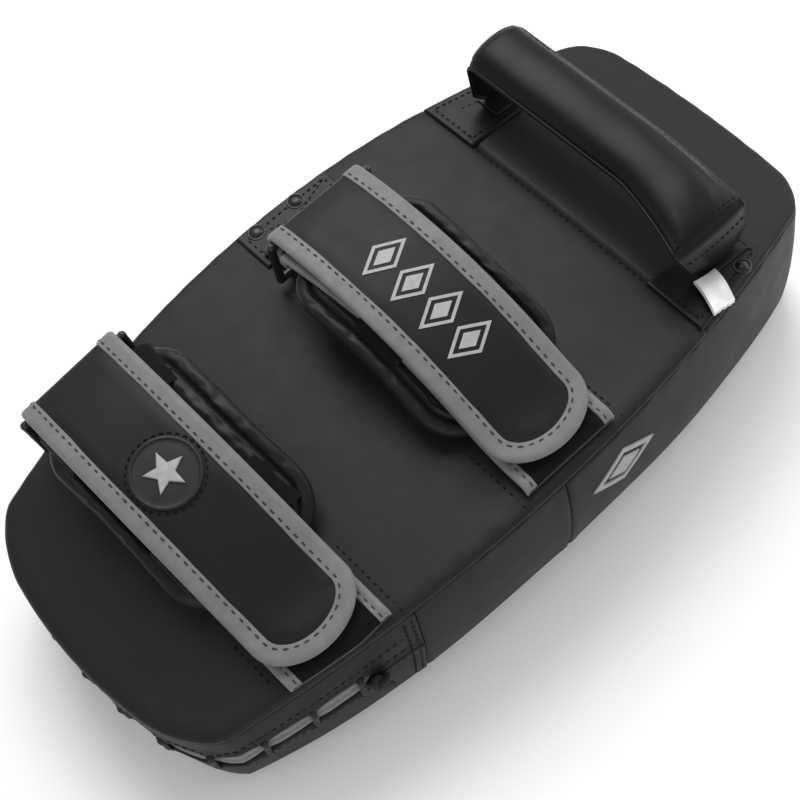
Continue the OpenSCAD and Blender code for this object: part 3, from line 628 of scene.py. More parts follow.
def panel(name, finish, node, inset, height, spine, keep=0, flip=False, thickness=1.8):
    """Cover panel over the plan outline; keep takes one side of the cross seam"""
    flat, s = panel_grid(inset, *spine)
    rows, cols = flat.shape[:2]
    points = np.concatenate([flat, np.zeros((rows, cols, 1))], -1).reshape(-1, 3)
    mesh = bpy.data.meshes.new(name)
    mesh.from_pydata(points.tolist(), [], quads(rows, cols, 0, False, True))
    work = bmesh.new()
    work.from_mesh(mesh)
    bmesh.ops.remove_doubles(work, verts=work.verts, dist=0.01)
    if keep:
        for y in SEAM_CUTS:
            bisect(work, y)
        bisect(work, CROSS_SEAM_Y, keep)
    edge_set = flat[0]
    co = np.array([v.co[:2] for v in work.verts])
    gaps = np.linalg.norm(co[:, None] - edge_set[None], axis=2)
    near = gaps.argmin(1)
    along = unit(edge_set[(near + 1) % len(s)] - edge_set[near - 1])
    d = np.abs(np.cross(along, co - edge_set[near]))
    d = np.where(gaps.min(1) > 25, gaps.min(1), d)
    z = height(co[:, 0], co[:, 1], d, s[near])
    for v, h in zip(work.verts, z):
        v.co.z = h
    for v in work.verts:
        v.co *= MM
    bmesh.ops.recalc_face_normals(work, faces=work.faces)
    up = sum(f.normal.z * f.calc_area() for f in work.faces)
    if (up < 0) != flip:
        bmesh.ops.reverse_faces(work, faces=work.faces)
    work.to_mesh(mesh)
    work.free()
    mesh.shade_smooth()
    set_up(name, "pad", finish, mesh, [node], thickness)


def back_height(x, y, d, s):
    seam = np.abs(y - CROSS_SEAM_Y)
    pucker = 0.28 * wobble(s, d * 0.5, 5.5, 1.0) * bell(d, 7)
    groove = 0.9 * bell(seam, 1.1) + 0.5 * bell(seam, 4)
    soft = 0.1 * wobble(x, y, 42, 2.0) * np.clip(d / 20, 0, 1)
    return surface_z(x, y) - roll_off(d, 2.8) * 0.8 - groove + pucker + soft + 0.35 * bell(d - 6, 4)


def strike_height(x, y, d, s):
    return strike_z(y) + roll_off(d, 1.8) * 0.7


def make_panels():
    for name, keep, node in (("back_panel_main_cover", -1, "back_panel_main"),
                             ("back_panel_top_cover", 1, "back_panel_top")):
        panel(name, COVER, node, lambda y: np.zeros_like(y) + 0.1, back_height,
              (-165, 170), keep)
    panel("strike_panel_cover", STRIKE, "strike_panel",
          lambda y: EDGE_RADIUS + 0.2 + lean(y), strike_height, (-160, 160), 0, flip=True,
          thickness=2.2)


EDGE_STOPS = np.array([0, 0.25, 0.6, 1.1, 1.7, 2.6, 4.0])


def stops(length, step, first=True, last=True):
    """Places along a length: close together at its edges and even between"""
    low = EDGE_STOPS if first else np.array([0.0])
    high = length - EDGE_STOPS[::-1] if last else np.array([length])
    n = max(1, int((high[0] - low[-1]) / step))
    return np.concatenate([low, np.linspace(low[-1], high[0], n + 1)[1:-1], high])


def wall_shade(s, t, seed):
    """Soft folds of the side leather: puckers under the seam and slow waves"""
    return 0.32 * wobble(s, t * 0.3, 6.0, seed) * bell(t, 9) + 0.35 * wobble(s, t, 38, seed)


def gusset(name, node, s0, s1, seed):
    s = s0 + stops(s1 - s0, 3.2)[:, None]
    height = wall_height(s)
    share = stops(1.0, 0.055, False, False)[1:]
    top = EDGE_STOPS[None, :] / height
    down = top[:, -1:] + (1 - top[:, -1:]) * share[None, :]
    turned = np.broadcast_to(1 + np.array([0.16, 0.33, 0.5, 0.66, 0.8, 0.9, 0.96, 1.0]),
                             (len(s), 8))
    u = np.concatenate([top, down, turned], 1)
    s = np.broadcast_to(s, u.shape)
    t = u * height
    ends = np.minimum(s - s0, s1 - s)
    under = (2 - u) * EDGE_RADIUS * math.pi / 2
    out = (-roll_off(t, 1.7) - 0.8 * roll_off(ends, 1.5) - 0.8 * roll_off(under, 1.5)
           + wall_shade(s, t, seed) * np.clip(ends / 8, 0.2, 1) + 0.35 * bell(ends - 3, 2.5))
    out = np.where(out > 0, out * np.clip(2 - u, 0, 1), out)
    inner = wall_at(s, u, np.full(u.shape, -COVER_T) - 0.3 - 0.8 * roll_off(t, 1.7))
    build(name, "pad", WALL, shell(wall_at(s, u, out), inner),
          replaces=[node])


def band_length():
    """Arc length along the lacing band against distance along the outline"""
    s = np.linspace(0, rim_s(FLAP_END_Y), 400)
    p = wall_at(s, np.full(len(s), SLOT_SHARE), np.zeros(len(s)))
    return s, np.concatenate([[0], np.cumsum(np.linalg.norm(np.diff(p, axis=0), axis=1))])


BAND_S, BAND_L = band_length()
SLOT_S = rim_s(SLOT_END_Y)
LACE_REACH = float(np.interp(SLOT_S, BAND_S, BAND_L)) - 9
LACE_PITCH = 2 * LACE_REACH / (CROSSINGS - 1)


def band_s(length):
    return np.sign(length) * np.interp(np.abs(length), BAND_L, BAND_S)


CROSSING_S = band_s(-LACE_REACH + LACE_PITCH * np.arange(CROSSINGS))


def pull(s):
    """1 at each crossing of the lace and 0 midway between"""
    gap = np.abs(np.asarray(s)[..., None] - CROSSING_S).min(-1)
    return bell(gap, 4.5)


def slot_half(s):
    """Half height of the slot in mm: scalloped by the lace, and shut past its ends"""
    open_share = np.clip((SLOT_S + 2 - np.abs(s)) / 9, 0, 1)
    open_share = open_share**2 * (3 - 2 * open_share)
    return 0.25 + (SLOT_HEIGHT / 2 + 0.9 - 1.2 * pull(s)) * open_share


def lace_flap(name, node, way):
    """Flap on one side of the slot: way 1 hangs from the back seam, -1 stands on the strike"""
    end = rim_s(FLAP_END_Y)
    s = -end + stops(2 * end, 2.2)[:, None]
    height = wall_height(s)
    edge = SLOT_SHARE - way * slot_half(s) / height
    hem = (EDGE_STOPS[::-1] if way > 0 else EDGE_STOPS)[None, :] / height
    body = np.linspace(0, 1, 9)[None, :]
    top = EDGE_STOPS[None, :] / height
    if way > 0:
        low, high = top[:, -1:], edge - hem[:, :1]
        u = np.concatenate([top[:, :-1], low + (high - low) * body, (edge - hem)[:, 1:]], 1)
    else:
        low = edge + hem[:, -1:]
        turned = np.broadcast_to(1 + np.array([0.2, 0.4, 0.6, 0.8, 0.92, 1.0]), (len(s), 6))
        u = np.concatenate([(edge + hem)[:, :-1], low + (1 - low) * body, turned], 1)
    s = np.broadcast_to(s, u.shape)
    t, off = u * height, np.abs(u - edge) * height
    ends = end - np.abs(s)
    bump = 1.1 * bell(np.abs(off - 4.2), 2.4) * pull(s)
    out = (0.55 * bell(off - 1.6, 2.0) - roll_off(off, 1.2) - 0.3 * bell(off - 4.3, 0.8)
           + bump * np.clip(ends / 20, 0, 1) + 0.9 * bell(ends, 7) - roll_off(ends, 1.1)
           - 0.25 * bell(ends - 2.6, 0.7) - 0.25 * bell(ends - 6.2, 0.7)
           + wall_shade(s, t, 3.0 + way) * 0.8)
    if way > 0:
        out -= roll_off(t, 1.7)
    else:
        out -= 0.8 * roll_off((2 - u) * EDGE_RADIUS * math.pi / 2, 1.5)
    out = np.where(out > 0, out * np.clip(2 - u, 0, 1), out)
    inner = wall_at(s, u, np.full(u.shape, -COVER_T) + np.minimum(out, 0) * 0.5)
    build(name, "pad", WALL, shell(wall_at(s, u, out), inner), replaces=[node])


def tongue():
    """Folded fabric behind the lacing, with a crease along its middle"""
    reach = rim_s(SLOT_END_Y) + 6
    s = np.linspace(-reach, reach, 260)[:, None]
    height = wall_height(s)
    off = np.linspace(-11, 11, 45)[None, :]
    u = SLOT_SHARE + off / height
    s = np.broadcast_to(s, u.shape)
    flank = 1 / (1 + np.exp((np.abs(off) - 6.4) / 0.35))
    fold = 0.45 * bell(off - 1.1, 0.7) - 0.4 * bell(off + 1.2, 0.6)
    shut = np.clip((SLOT_S + 2 - np.abs(s)) / 12, 0, 1)
    out = TONGUE_OUT + flank * shut * (4.4 + fold + 0.4 * (1 - pull(s)) + 0.2 * wobble(s, off, 7))
    face = wall_at(s, u, out)
    sheet = shell(face, wall_at(s, u, out - TONGUE_T))
    obj = build("lace_tongue_fabric", "pad", TONGUE, sheet,
                replaces=["lace_tongue"])


def band_place(length, height, out):
    s = band_s(np.asarray(length, float))
    u = SLOT_SHARE - np.asarray(height, float) / wall_height(s)
    return wall_at(s, u, np.asarray(out, float))


def rounded(points, step=0.6, passes=6):
    """Evens a polyline and rounds its corners"""
    line = resample(points, step)
    for _ in range(passes):
        line[1:-1] = (line[:-2] + 2 * line[1:-1] + line[2:]) / 4
    return line


EYELET_AT, EYELET_R = 8.0, 1.7
LACE_PROFILE = ((8.6, LACE_HIDDEN), (7.8, 0.2), (6.4, 1.9), (3.2, 1.5), (0, 1.3))


def lace():
    across = [*LACE_PROFILE, *((-h, o) for h, o in LACE_PROFILE[-2::-1])]
    points = []
    for i in range(CROSSINGS - 1, -1, -1):
        at, way = -LACE_REACH + i * LACE_PITCH, 1 if i % 2 == 0 else -1
        points += [band_place(at, way * h, o) for h, o in across]
        if i:
            points.append(band_place(at - LACE_PITCH / 2, -way * LACE_PROFILE[0][0],
                                     LACE_HIDDEN))
    route = rounded(np.array(points))
    outward = unit(np.stack([route[:, 0], route[:, 1] / 2, np.zeros(len(route))], 1))
    build("lace_braid", "pad", LACE, tube(route, 1.5, outward, flat=0.6),
          replaces=["lace_cord"])
    eyes = []
    for length in -LACE_REACH + LACE_PITCH * np.arange(CROSSINGS):
        for side in (-1, 1):
            centre = band_place(length, side * EYELET_AT, 0.95)
            out = unit(band_place(length, side * EYELET_AT, 2) - centre)
            up = unit(np.cross(out, np.cross([0, 0, 1.0], out)))
            across_dir = np.cross(out, up)
            angle = np.linspace(0, 2 * math.pi, 16, endpoint=False)[:, None]
            ring = centre + EYELET_R * (np.cos(angle) * across_dir + np.sin(angle) * up)
            eyes.append(tube(ring, 0.4, np.broadcast_to(out, ring.shape), 6, closed=True))
    build("lace_eyelets", "pad", THREAD_DARK, merge(eyes))


def knot():
    """Overhand knot: a trefoil of the same cord, with its cut tail"""
    centre = np.array(band_place(LACE_REACH + 8, 0, KNOT_R - 0.6))
    out = unit(band_place(LACE_REACH + 8, 0, KNOT_R + 2) - centre)
    up = np.array([0, 0, 1.0])
    side = unit(np.cross(up, out))
    t = np.linspace(0, 2 * math.pi, 90, endpoint=False)
    a = np.sin(t) + 2 * np.sin(2 * t)
    b = np.cos(t) - 2 * np.cos(2 * t)
    c = -np.sin(3 * t)
    route = centre + (a[:, None] * side + b[:, None] * up) * 1.15 + c[:, None] * out * 1.5
    ball = tube(route, 1.75, np.broadcast_to(out, route.shape) + 0.3 * side, 8, closed=True)
    tail_dir = unit(side * 0.5 - up * 0.3 + out * 0.3)
    k = np.linspace(0, 1, 8)[:, None]
    tail = centre + tail_dir * (2 + 3.6 * k) - up * 0.6 * k * k
    end = tube(tail, 1.1, np.broadcast_to(out, tail.shape), 8)
    lead = np.array([band_place(LACE_REACH + d, h, o) for d, h, o in
                     ((0, 3, 1.6), (3, 1.5, 2.2), (6, 0, 2.8), (8, 0, 3.2))])
    lead = rounded(lead)
    link = tube(lead, 1.2, np.broadcast_to(out, lead.shape), 8)
    build("lace_end_knot", "pad", LACE, merge([ball, end, link]),
          replaces=["lace_knot"])


# ---- Things sewn on the back face ----


def strap_place(points, strap):
    """From a strap's own level frame to the pad's"""
    angle = back_slope(strap["yc"])
    c, s = math.cos(angle), math.sin(angle)
    x, y, z = points[..., 0], points[..., 1], points[..., 2]
    return np.stack([x, y * c - z * s + strap["yc"], y * s + z * c + float(back_z(strap["yc"]))],
                    -1)


def draped(x, y, rise, seed=0.0):
    """A leather layer on the back face: grids of its top and underside"""
    top = surface_z(x, y) + rise + 0.12 * wobble(x, y, 9, seed)
    return (np.stack([x, y, top], -1), np.stack([x, y, surface_z(x, y) - 0.35], -1))


def patch_grid(y0, y1, left, right):
    v = stops(y1 - y0, 3.0)
    y = (y0 + v)[:, None]
    length = float(right(0.5 * (y0 + y1)) - left(0.5 * (y0 + y1)))
    w = stops(length, 3.0) / length
    x = left(y) + (right(y) - left(y)) * w[None, :]
    y = np.broadcast_to(y, x.shape)
    d = np.minimum(np.minimum(v, v[::-1])[:, None], np.minimum(w, w[::-1])[None, :] * length)
    return x, y, d


def patch(name, node, y0, y1, left, right, top=PATCH_TOP, seed=0.0):
    x, y, d = patch_grid(y0, y1, left, right)
    groove = 0.3 * bell(d - 3.4, 0.8)
    rise = top - roll_off(d, 1.1) - groove
    outer, inner = draped(x, y, rise, seed)
    build(name, "pad", PATCH, shell(outer, inner), replaces=[node])


UP = (0.0, 0.0, 1.0)
SEAM_INSIDE = 3.4


def patch_seams(runs):
    """Rows of stitches on a patch, one along each run between two places"""
    parts = []
    for run in runs:
        x, y = resample(np.array(run, float), 1.0).T
        route = np.stack([x, y, surface_z(x, y) + PATCH_TOP - 0.05], -1)
        parts.append(stitches(route, UP, *PATCH_STITCH))
    return parts


def crossed_box(x0, x1, y0, y1):
    corners = [(x0, y0), (x1, y0), (x1, y1), (x0, y1), (x0, y0)]
    return [*zip(corners, corners[1:]), ((x0, y0), (x1, y1)), ((x0, y1), (x1, y0))]


RIVET_PROFILE = ((4.5, -0.6), (4.5, 0.1), (4.1, 0.35), (3.7, 0.3), (3.4, -0.05), (3.1, 0.05),
                 (2.6, 0.5), (1.8, 0.85), (0.9, 1.05), (0.2, 1.1))


def rivet(x, y, base):
    angle = np.linspace(0, 2 * math.pi, 28, endpoint=False)
    tilt = back_slope(y)
    rings = []
    for r, h in RIVET_PROFILE:
        ry = r * np.sin(angle)
        rings.append(np.stack([x + r * np.cos(angle), y + ry * math.cos(tilt) - h * math.sin(tilt),
                               base + ry * math.sin(tilt) + h * math.cos(tilt)], -1))
    return sweep(np.array(rings))


def anchors():
    rivets, seams = [], []
    for strap in (LOWER, UPPER):
        yc, tag = strap["yc"], strap["tag"]
        right = -float(side_x(yc)) + strap["anchor_reach"]
        patch("anchor_patch_" + tag + "_leather", "anchor_patch_" + tag, yc - ANCHOR_HALF,
              yc + ANCHOR_HALF, lambda y: -side_x(y) + 2, lambda y: np.zeros_like(y) + right,
              seed=yc)
        edge = -float(side_x(yc - ANCHOR_HALF if yc < 0 else yc + ANCHOR_HALF)) + 5.5
        reach = ANCHOR_HALF - SEAM_INSIDE
        seams += patch_seams(crossed_box(edge, right - SEAM_INSIDE, yc - reach, yc + reach))
        for way in (-1, 1):
            y = yc - 6 + way * 12
            x = -float(side_x(y)) + strap["rivet_inset"]
            rivets.append(rivet(x, y, float(surface_z(x, y)) + PATCH_TOP + 0.1))
    build("anchor_rivet_caps", "pad", RIVET, merge(rivets), sharp=35,
          replaces=["anchor_rivets"])
    build("anchor_stitching", "pad", THREAD_DARK, merge(seams))


def handle_patches():
    for side, tag in ((-1, "left"), (1, "right")):
        def inner(y):
            return np.zeros_like(y) + PATCH_INNER

        def outer(y):
            return side_x(y) - 2

        left, right = (inner, outer) if side > 0 else (lambda y: -outer(y), lambda y: -inner(y))
        patch(f"handle_patch_{tag}_leather", "handle_patch_" + tag, PATCH_NEAR, PATCH_FAR, left,
              right, seed=side * 5.0)
    rivets, seams = [], []
    for side in (-1, 1):
        y = HANDLE_Y + 4
        rivets.append(rivet(side * 79.0, y, float(surface_z(79, y)) + PATCH_TOP + 0.1))
        y0, y1 = PATCH_NEAR + SEAM_INSIDE, PATCH_FAR - SEAM_INSIDE
        x0, x1, x2 = PATCH_INNER + SEAM_INSIDE, *(float(side_x(y)) - 5.4 for y in (y1, y0))
        runs = (((x0, y0), (x2, y0)), ((x0, y1), (x1, y1)), ((x0, y0), (x0, y1)),
                ((x2, y0), (x1, y1)), ((70.0, y1), (x1, y0 + 8)))
        seams += patch_seams([[(x * side, y) for x, y in run] for run in runs])
    build("handle_rivet_caps", "pad", RIVET, merge(rivets), sharp=35,
          replaces=["handle_rivets"])
    build("handle_patch_stitching", "pad", THREAD_DARK, merge(seams))


# ---- Straps ----


def arch_point(ring_x, angle, offset):
    a = np.radians(angle)
    r = ARCH_R + np.asarray(offset, float)
    return ring_x + ARCH_LEAD + r * np.sin(a), ARCH_H - ARCH_R + r * np.cos(a)


ARCH_START = -math.degrees(math.asin(ARCH_LEAD / ARCH_R))


def arc(r, degrees):
    return r * math.radians(degrees)


def trace(start, pieces, s):
    """Places (x, height, heading in degrees) along straight runs and arcs at distances s"""
    s = np.asarray(s, float)
    at, found, passed = start, np.zeros((len(s), 3)), 0.0
    for k, (length, turn) in enumerate(pieces):
        last = k == len(pieces) - 1
        inside = (s >= passed - 1e-9) & ((s <= passed + length) | last)
        for mask, d in ((inside, s[inside] - passed), (None, np.array([length]))):
            x, z, h = at
            g = h + turn * d / length
            if turn:
                r = length / math.radians(turn)
                px = x + r * (np.sin(np.radians(g)) - math.sin(math.radians(h)))
                pz = z - r * (np.cos(np.radians(g)) - math.cos(math.radians(h)))
            else:
                px = x + d * math.cos(math.radians(h))
                pz = z + d * math.sin(math.radians(h))
            if mask is None:
                at = (float(px[0]), float(pz[0]), float(g[0]))
            else:
                found[mask] = np.stack([px, pz, g], 1)
        passed += length
    return found


def ring_bar(strap):
    x, z = arch_point(strap["ring_x"], ARCH_START, -WRAP_R)
    return float(x), float(z)


def flap_path(strap):
    bx, bz = ring_bar(strap)
    h = math.radians(ARCH_START)
    start = (bx - math.sin(h) * WRAP_R + WRAP_TAIL * math.cos(h),
             bz - math.cos(h) * WRAP_R - WRAP_TAIL * math.sin(h), 180 - ARCH_START)
    return start, ((WRAP_TAIL, 0), (arc(WRAP_R, 180), -180),
                   (arc(ARCH_R, ARCH_END - ARCH_START), ARCH_START - ARCH_END),
                   (arc(TIP_TURN_R, TIP_RISE), TIP_RISE), (strap["tip_run"], 0))


def base_path(strap):
    skip = math.degrees(math.asin(BASE_SKIP / ARCH_R))
    x, z = arch_point(strap["ring_x"], ARCH_START + skip, 0)
    turn = ARCH_END - ARCH_START - skip
    return (float(x), float(z), -ARCH_START - skip), (
        (arc(ARCH_R, turn), -turn), (arc(TIP_TURN_R, TIP_RISE), TIP_RISE),
        (strap["base_run"], ARCH_END - TIP_RISE))


def base_end(path, y, strap):
    """Distance along the base at which it meets the side seam, for places across it"""
    end = path_length(path)
    last = float(trace(*path, [end])[0, 0])
    return end - np.maximum(0, last - (side_x(strap["yc"] + np.asarray(y, float)) - 1.2))


def tucked(path, s, y, offset, strap):
    """Like beside, but for the base: it skews near its ring and dips into the side seam"""
    dip = 2.6 * np.clip(1 - (base_end(path, y, strap) - s) / 4.5, 0, 1) ** 2
    return beside(path, s, y - strap["skew"] * np.clip(1 - s / 50, 0, 1), offset - dip, strap)


def path_length(path):
    return sum(piece[0] for piece in path[1])


def beside(path, s, y, offset, strap):
    """Points beside a strap's path, in the pad's frame; all arrays of one shape"""
    s, y, offset = np.broadcast_arrays(*(np.asarray(v, float) for v in (s, y, offset)))
    a = trace(*path, s.ravel()).reshape(*s.shape, 3)
    h = np.radians(a[..., 2])
    local = np.stack([a[..., 0] - np.sin(h) * offset, y, a[..., 1] + np.cos(h) * offset], -1)
    return strap_place(local, strap)


def beside_normal(path, s, y, strap):
    return unit(beside(path, s, y, 1.0, strap) - beside(path, s, y, 0.0, strap))


def flap_half(end, inset, s):
    w, r = STRAP_W / 2 - inset, TIP_LENGTH - inset
    d = np.clip(end - inset - s, 0, None)
    return np.where(d > r, w, w * np.sqrt(np.clip(1 - (1 - np.minimum(d, r) / r) ** 2, 0.002, 1)))


def flap_cover(strap):
    path = flap_path(strap)
    end = path_length(path)
    wrap = WRAP_TAIL + arc(WRAP_R, 180)
    r = TIP_LENGTH - 1.1
    s = np.concatenate([np.linspace(0, wrap, 22), np.linspace(wrap, end - TIP_LENGTH - 1, 80)[1:],
                        end - 1.1 - r * (1 - np.sin(np.linspace(0, math.pi / 2, 16)))])
    f = np.linspace(-1, 1, 25)[None, :]
    w = flap_half(end, 1.1, s)[:, None]
    y = w * f
    s2 = np.broadcast_to(s[:, None], y.shape)
    past = np.clip((s2 - end + TIP_LENGTH) / TIP_LENGTH, 0, 1)
    inside = (1 - np.hypot(past, 2 * y / STRAP_W)) * TIP_LENGTH
    inside = np.where(past > 0, inside, STRAP_W / 2 - np.abs(y))
    free = np.clip((inside - 7.8) / 5, 0, 1) * np.clip((s2 - wrap) / 12, 0, 1)
    rise = (0.8 + 0.22 * wobble(s2, y, 16, strap["yc"])) * free * (2 - free)
    top = beside(path, s2, y, FLAP_T / 2 + rise, strap)
    low = beside(path, s2, y, -FLAP_T / 2 + 0.15, strap)
    build("flap_cover_" + strap["tag"] + "_leather", "flap_" + strap["tag"],
          STRAP, shell(top, low), replaces=["flap_cover_" + strap["tag"]])


BIND_SECTION = ((8.3, 1.25), (8.2, 1.62), (7.0, 1.78), (4.6, 1.74), (2.4, 1.8), (0.9, 1.62),
                (0.05, 1.0), (-0.25, 0.0), (0.05, -1.0), (0.9, -1.5), (2.4, -1.55), (7.0, -1.5),
                (8.2, -1.4), (8.2, -1.05), (2.0, -0.95), (1.2, 0.0), (2.0, 1.0))
BIND_STITCH_INSET, BIND_TOP, BIND_UNDER = 6.5, 1.78, -1.5


def binding_spots(path):
    """Places round the flap's edge: (distance, across) as functions of the inset d"""
    end, w = path_length(path), STRAP_W / 2
    straight = np.linspace(0, end - TIP_LENGTH, 110)
    spots = [lambda d, s=s: (s, -(w - d)) for s in straight]
    for a in np.radians(np.linspace(-90, 90, 37)[1:-1]):
        spots.append(lambda d, a=a: (end - TIP_LENGTH + (TIP_LENGTH - d) * math.cos(a),
                                     (w - d) * math.sin(a)))
    spots += [lambda d, s=s: (s, w - d) for s in straight[::-1]]
    return spots


def binding_line(strap, d, offset):
    """Line along a flap's binding at inset d, and its normals"""
    path = flap_path(strap)
    at = np.array([spot(d) for spot in binding_spots(path)])
    return (beside(path, at[:, 0], at[:, 1], offset, strap),
            beside_normal(path, at[:, 0], at[:, 1], strap))


def flap_binding(strap):
    path = flap_path(strap)
    spots = binding_spots(path)
    k = np.arange(len(spots), dtype=float)
    places, offsets = [], []
    for i, (d, o) in enumerate(BIND_SECTION):
        wide = d * (1 + 0.035 * wobble(k, k * 0.7, 9, 1.0))
        lift = o + (0.12 * wobble(k, k * 1.3, 3.2, 2.0 + i * 0.2) if o > 1.3 else 0)
        places.append(np.array([spot(q) for spot, q in zip(spots, wide)]))
        offsets.append(np.broadcast_to(lift, k.shape))
    places, offsets = np.stack(places, 1), np.stack(offsets, 1)
    sections = beside(path, places[..., 0], places[..., 1], offsets, strap)
    tag = strap["tag"]
    build(f"flap_binding_{tag}_tape", "flap_" + tag, BINDING, sweep(sections),
          replaces=["flap_binding_" + tag])
    rows = [stitches(*binding_line(strap, BIND_STITCH_INSET, BIND_TOP), *BINDING_STITCH)]
    under, normals = binding_line(strap, BIND_STITCH_INSET, BIND_UNDER)
    rows.append(stitches(under, -normals, *BINDING_STITCH))
    build(f"flap_stitching_{tag}", "flap_" + tag, THREAD_GREY, merge(rows))


PRINT_COUNT, PRINT_START, PRINT_PITCH, PRINT_TALL, PRINT_LONG = 4, 46, 17.5, 13.0, 7.4


def flap_print(strap):
    """Plain print: a chain of outlined and solid lozenges"""
    path = flap_path(strap)
    wrap = WRAP_TAIL + arc(WRAP_R, 180)
    shape = lozenge(32)
    parts = []
    for k in range(PRINT_COUNT):
        middle = wrap + PRINT_START + PRINT_PITCH * k
        for outer, inner in ((1.0, 0.78), (0.5, 0.0)):
            grids = []
            for lift in (1.0, 2.12):
                rings = [beside(path, middle + PRINT_LONG * q * shape[:, 0],
                                PRINT_TALL * q * shape[:, 1], lift, strap)
                         for q in np.linspace(max(inner, 0.02), outer, 4)]
                grids.append(np.stack(rings, 1))
            parts.append(shell(grids[1], grids[0], close_rows=True))
    build("flap_print_lozenges", "flap_" + strap["tag"], PRINT, merge(parts),
          sharp=30)


STITCH_RING = 17.5


def badge(strap):
    """Round rubber badge: rim, sunken field, raised star, and stitches round it"""
    x, z = arch_point(strap["ring_x"], BADGE_ANGLE, FLAP_T / 2 + 0.35)
    a = math.radians(BADGE_ANGLE)

    def place(p):
        p = np.asarray(p, float)
        lx = float(x) + p[..., 0] * math.cos(a) + p[..., 2] * math.sin(a)
        lz = float(z) - p[..., 0] * math.sin(a) + p[..., 2] * math.cos(a)
        return strap_place(np.stack([lx, p[..., 1], lz], -1), strap)

    angle = np.linspace(0, 2 * math.pi, 72, endpoint=False)
    profile = ((BADGE_R, -0.6), (BADGE_R, 1.0), (BADGE_R - 0.35, 1.5), (BADGE_R - 1.0, 1.7),
               (BADGE_R - 1.6, 1.5), (BADGE_R - 1.9, 1.05), (BADGE_R - 2.4, 0.95),
               (BADGE_R - 4, 1.15), (BADGE_R * 0.5, 1.3), (0.3, 1.35))
    rings = np.array([np.stack([r * np.cos(angle), r * np.sin(angle), np.full(72, h)], 1)
                      for r, h in profile])
    tag = "flap_" + strap["tag"]
    build("badge_rubber_disc", tag, RUBBER, sweep(place(rings)), sharp=35,
          replaces=["badge_disc"])
    star = []
    for r_big, r_small, h in ((9.8, 4.3, 0.9), (9.8, 4.3, 1.9), (9.0, 3.9, 2.3)):
        spin = math.radians(18)
        star.append([(r * math.cos(math.pi * i / 5 + spin), r * math.sin(math.pi * i / 5 + spin), h)
                     for i in range(10) for r in (r_big if i % 2 == 0 else r_small,)])
    star.append([(p[0] * 0.02, p[1] * 0.02, 2.75) for p in star[-1]])
    build("badge_star", tag, PRINT, sweep(place(np.array(star))), sharp=12)
    ring = np.stack([STITCH_RING * np.cos(angle), STITCH_RING * np.sin(angle)], 1)
    ring = np.concatenate([ring, ring[:1]])
    drop = (np.hypot(*ring.T) ** 2 * np.cos(np.append(angle, angle[0])) ** 2) / (2 * ARCH_R)
    route = place(np.stack([ring[:, 0], ring[:, 1], 0.45 - drop], 1))
    normal = unit(place(np.array([0, 0, 1.0])) - place(np.array([0, 0, 0.0])))
    build("badge_stitching", tag, THREAD_DARK,
          stitches(route, normal, *BADGE_STITCH))


def base_shares(start, count):
    """Shares of the way along a base, closer together where it dips into the seam"""
    return np.concatenate([np.linspace(start, 0.96, count), np.linspace(0.96, 1, 12)[1:]])


def base_strap(strap):
    """Base webbing with its fuzzy loop face and bound edges, sewn into the side seam"""
    path, tag = base_path(strap), strap["tag"]
    share = base_shares(0, 90)
    y = (BASE_HALF - 0.9) * np.linspace(-1, 1, 27)[None, :]
    s, y = np.broadcast_arrays(share[:, None] * base_end(path, y, strap), y)
    under = tucked(path, s, y, BASE_LOW + 0.05 * wobble(s, y, 5), strap)
    over = tucked(path, s, y, BASE_MID + 0.1, strap)
    build(f"strap_base_{tag}_webbing", "pad", WEBBING, shell(over, under),
          replaces=["strap_base_" + tag])
    f = np.linspace(-1, 1, 61)[None, :]
    y = (BASE_HALF - 4.9) * f
    share = base_shares(0.003, 150)
    s, y = np.broadcast_arrays(share[:, None] * base_end(path, y, strap), y)
    tuft = 0.16 * wobble(s, y, 1.1, 1.0) + 0.12 * wobble(y, s, 2.3, 5.0)
    edge = roll_off((1 - np.abs(f)) * 20, 0.5)
    over = tucked(path, s, y, LOOP_TOP + 0.1 + tuft * (1 - f**8) - edge, strap)
    under = tucked(path, s, y, BASE_MID + 0.05, strap)
    build(f"loop_face_{tag}_pile", "pad", LOOP_PILE, shell(over, under),
          replaces=["loop_face_" + tag])
    section = ((19.9, -4.75), (20.1, -4.3), (21.1, -4.1), (22.0, -4.35), (22.9, -4.0),
               (24.6, -4.0), (25.7, -4.6), (25.95, -5.8), (25.6, -6.8), (24.6, -7.05),
               (20.6, -7.0), (20.4, -6.8), (24.6, -6.6), (24.9, -5.6), (24.4, -4.9))
    share = base_shares(0, 110)
    parts, rows = [], []
    for side in (-1, 1):
        grid = []
        for across, offset in section:
            y = np.full(len(share), side * across)
            s = share * base_end(path, y, strap)
            wave = 0.1 * wobble(s, s * 0.4, 5, across) if offset > -4.5 else 0
            grid.append(tucked(path, s, y, offset + wave, strap))
        parts.append(sweep(np.stack(grid, 1)))
        y = np.full(len(share), side * 22.0)
        s = share * base_end(path, y, strap)
        rows.append(stitches(tucked(path, s, y, -4.32, strap), beside_normal(path, s, y, strap),
                             *BASE_STITCH))
    build(f"base_binding_{tag}_tape", "pad", BINDING, merge(parts),
          replaces=["base_binding_" + tag])
    build(f"base_stitching_{tag}", "pad", THREAD_GREY, merge(rows))


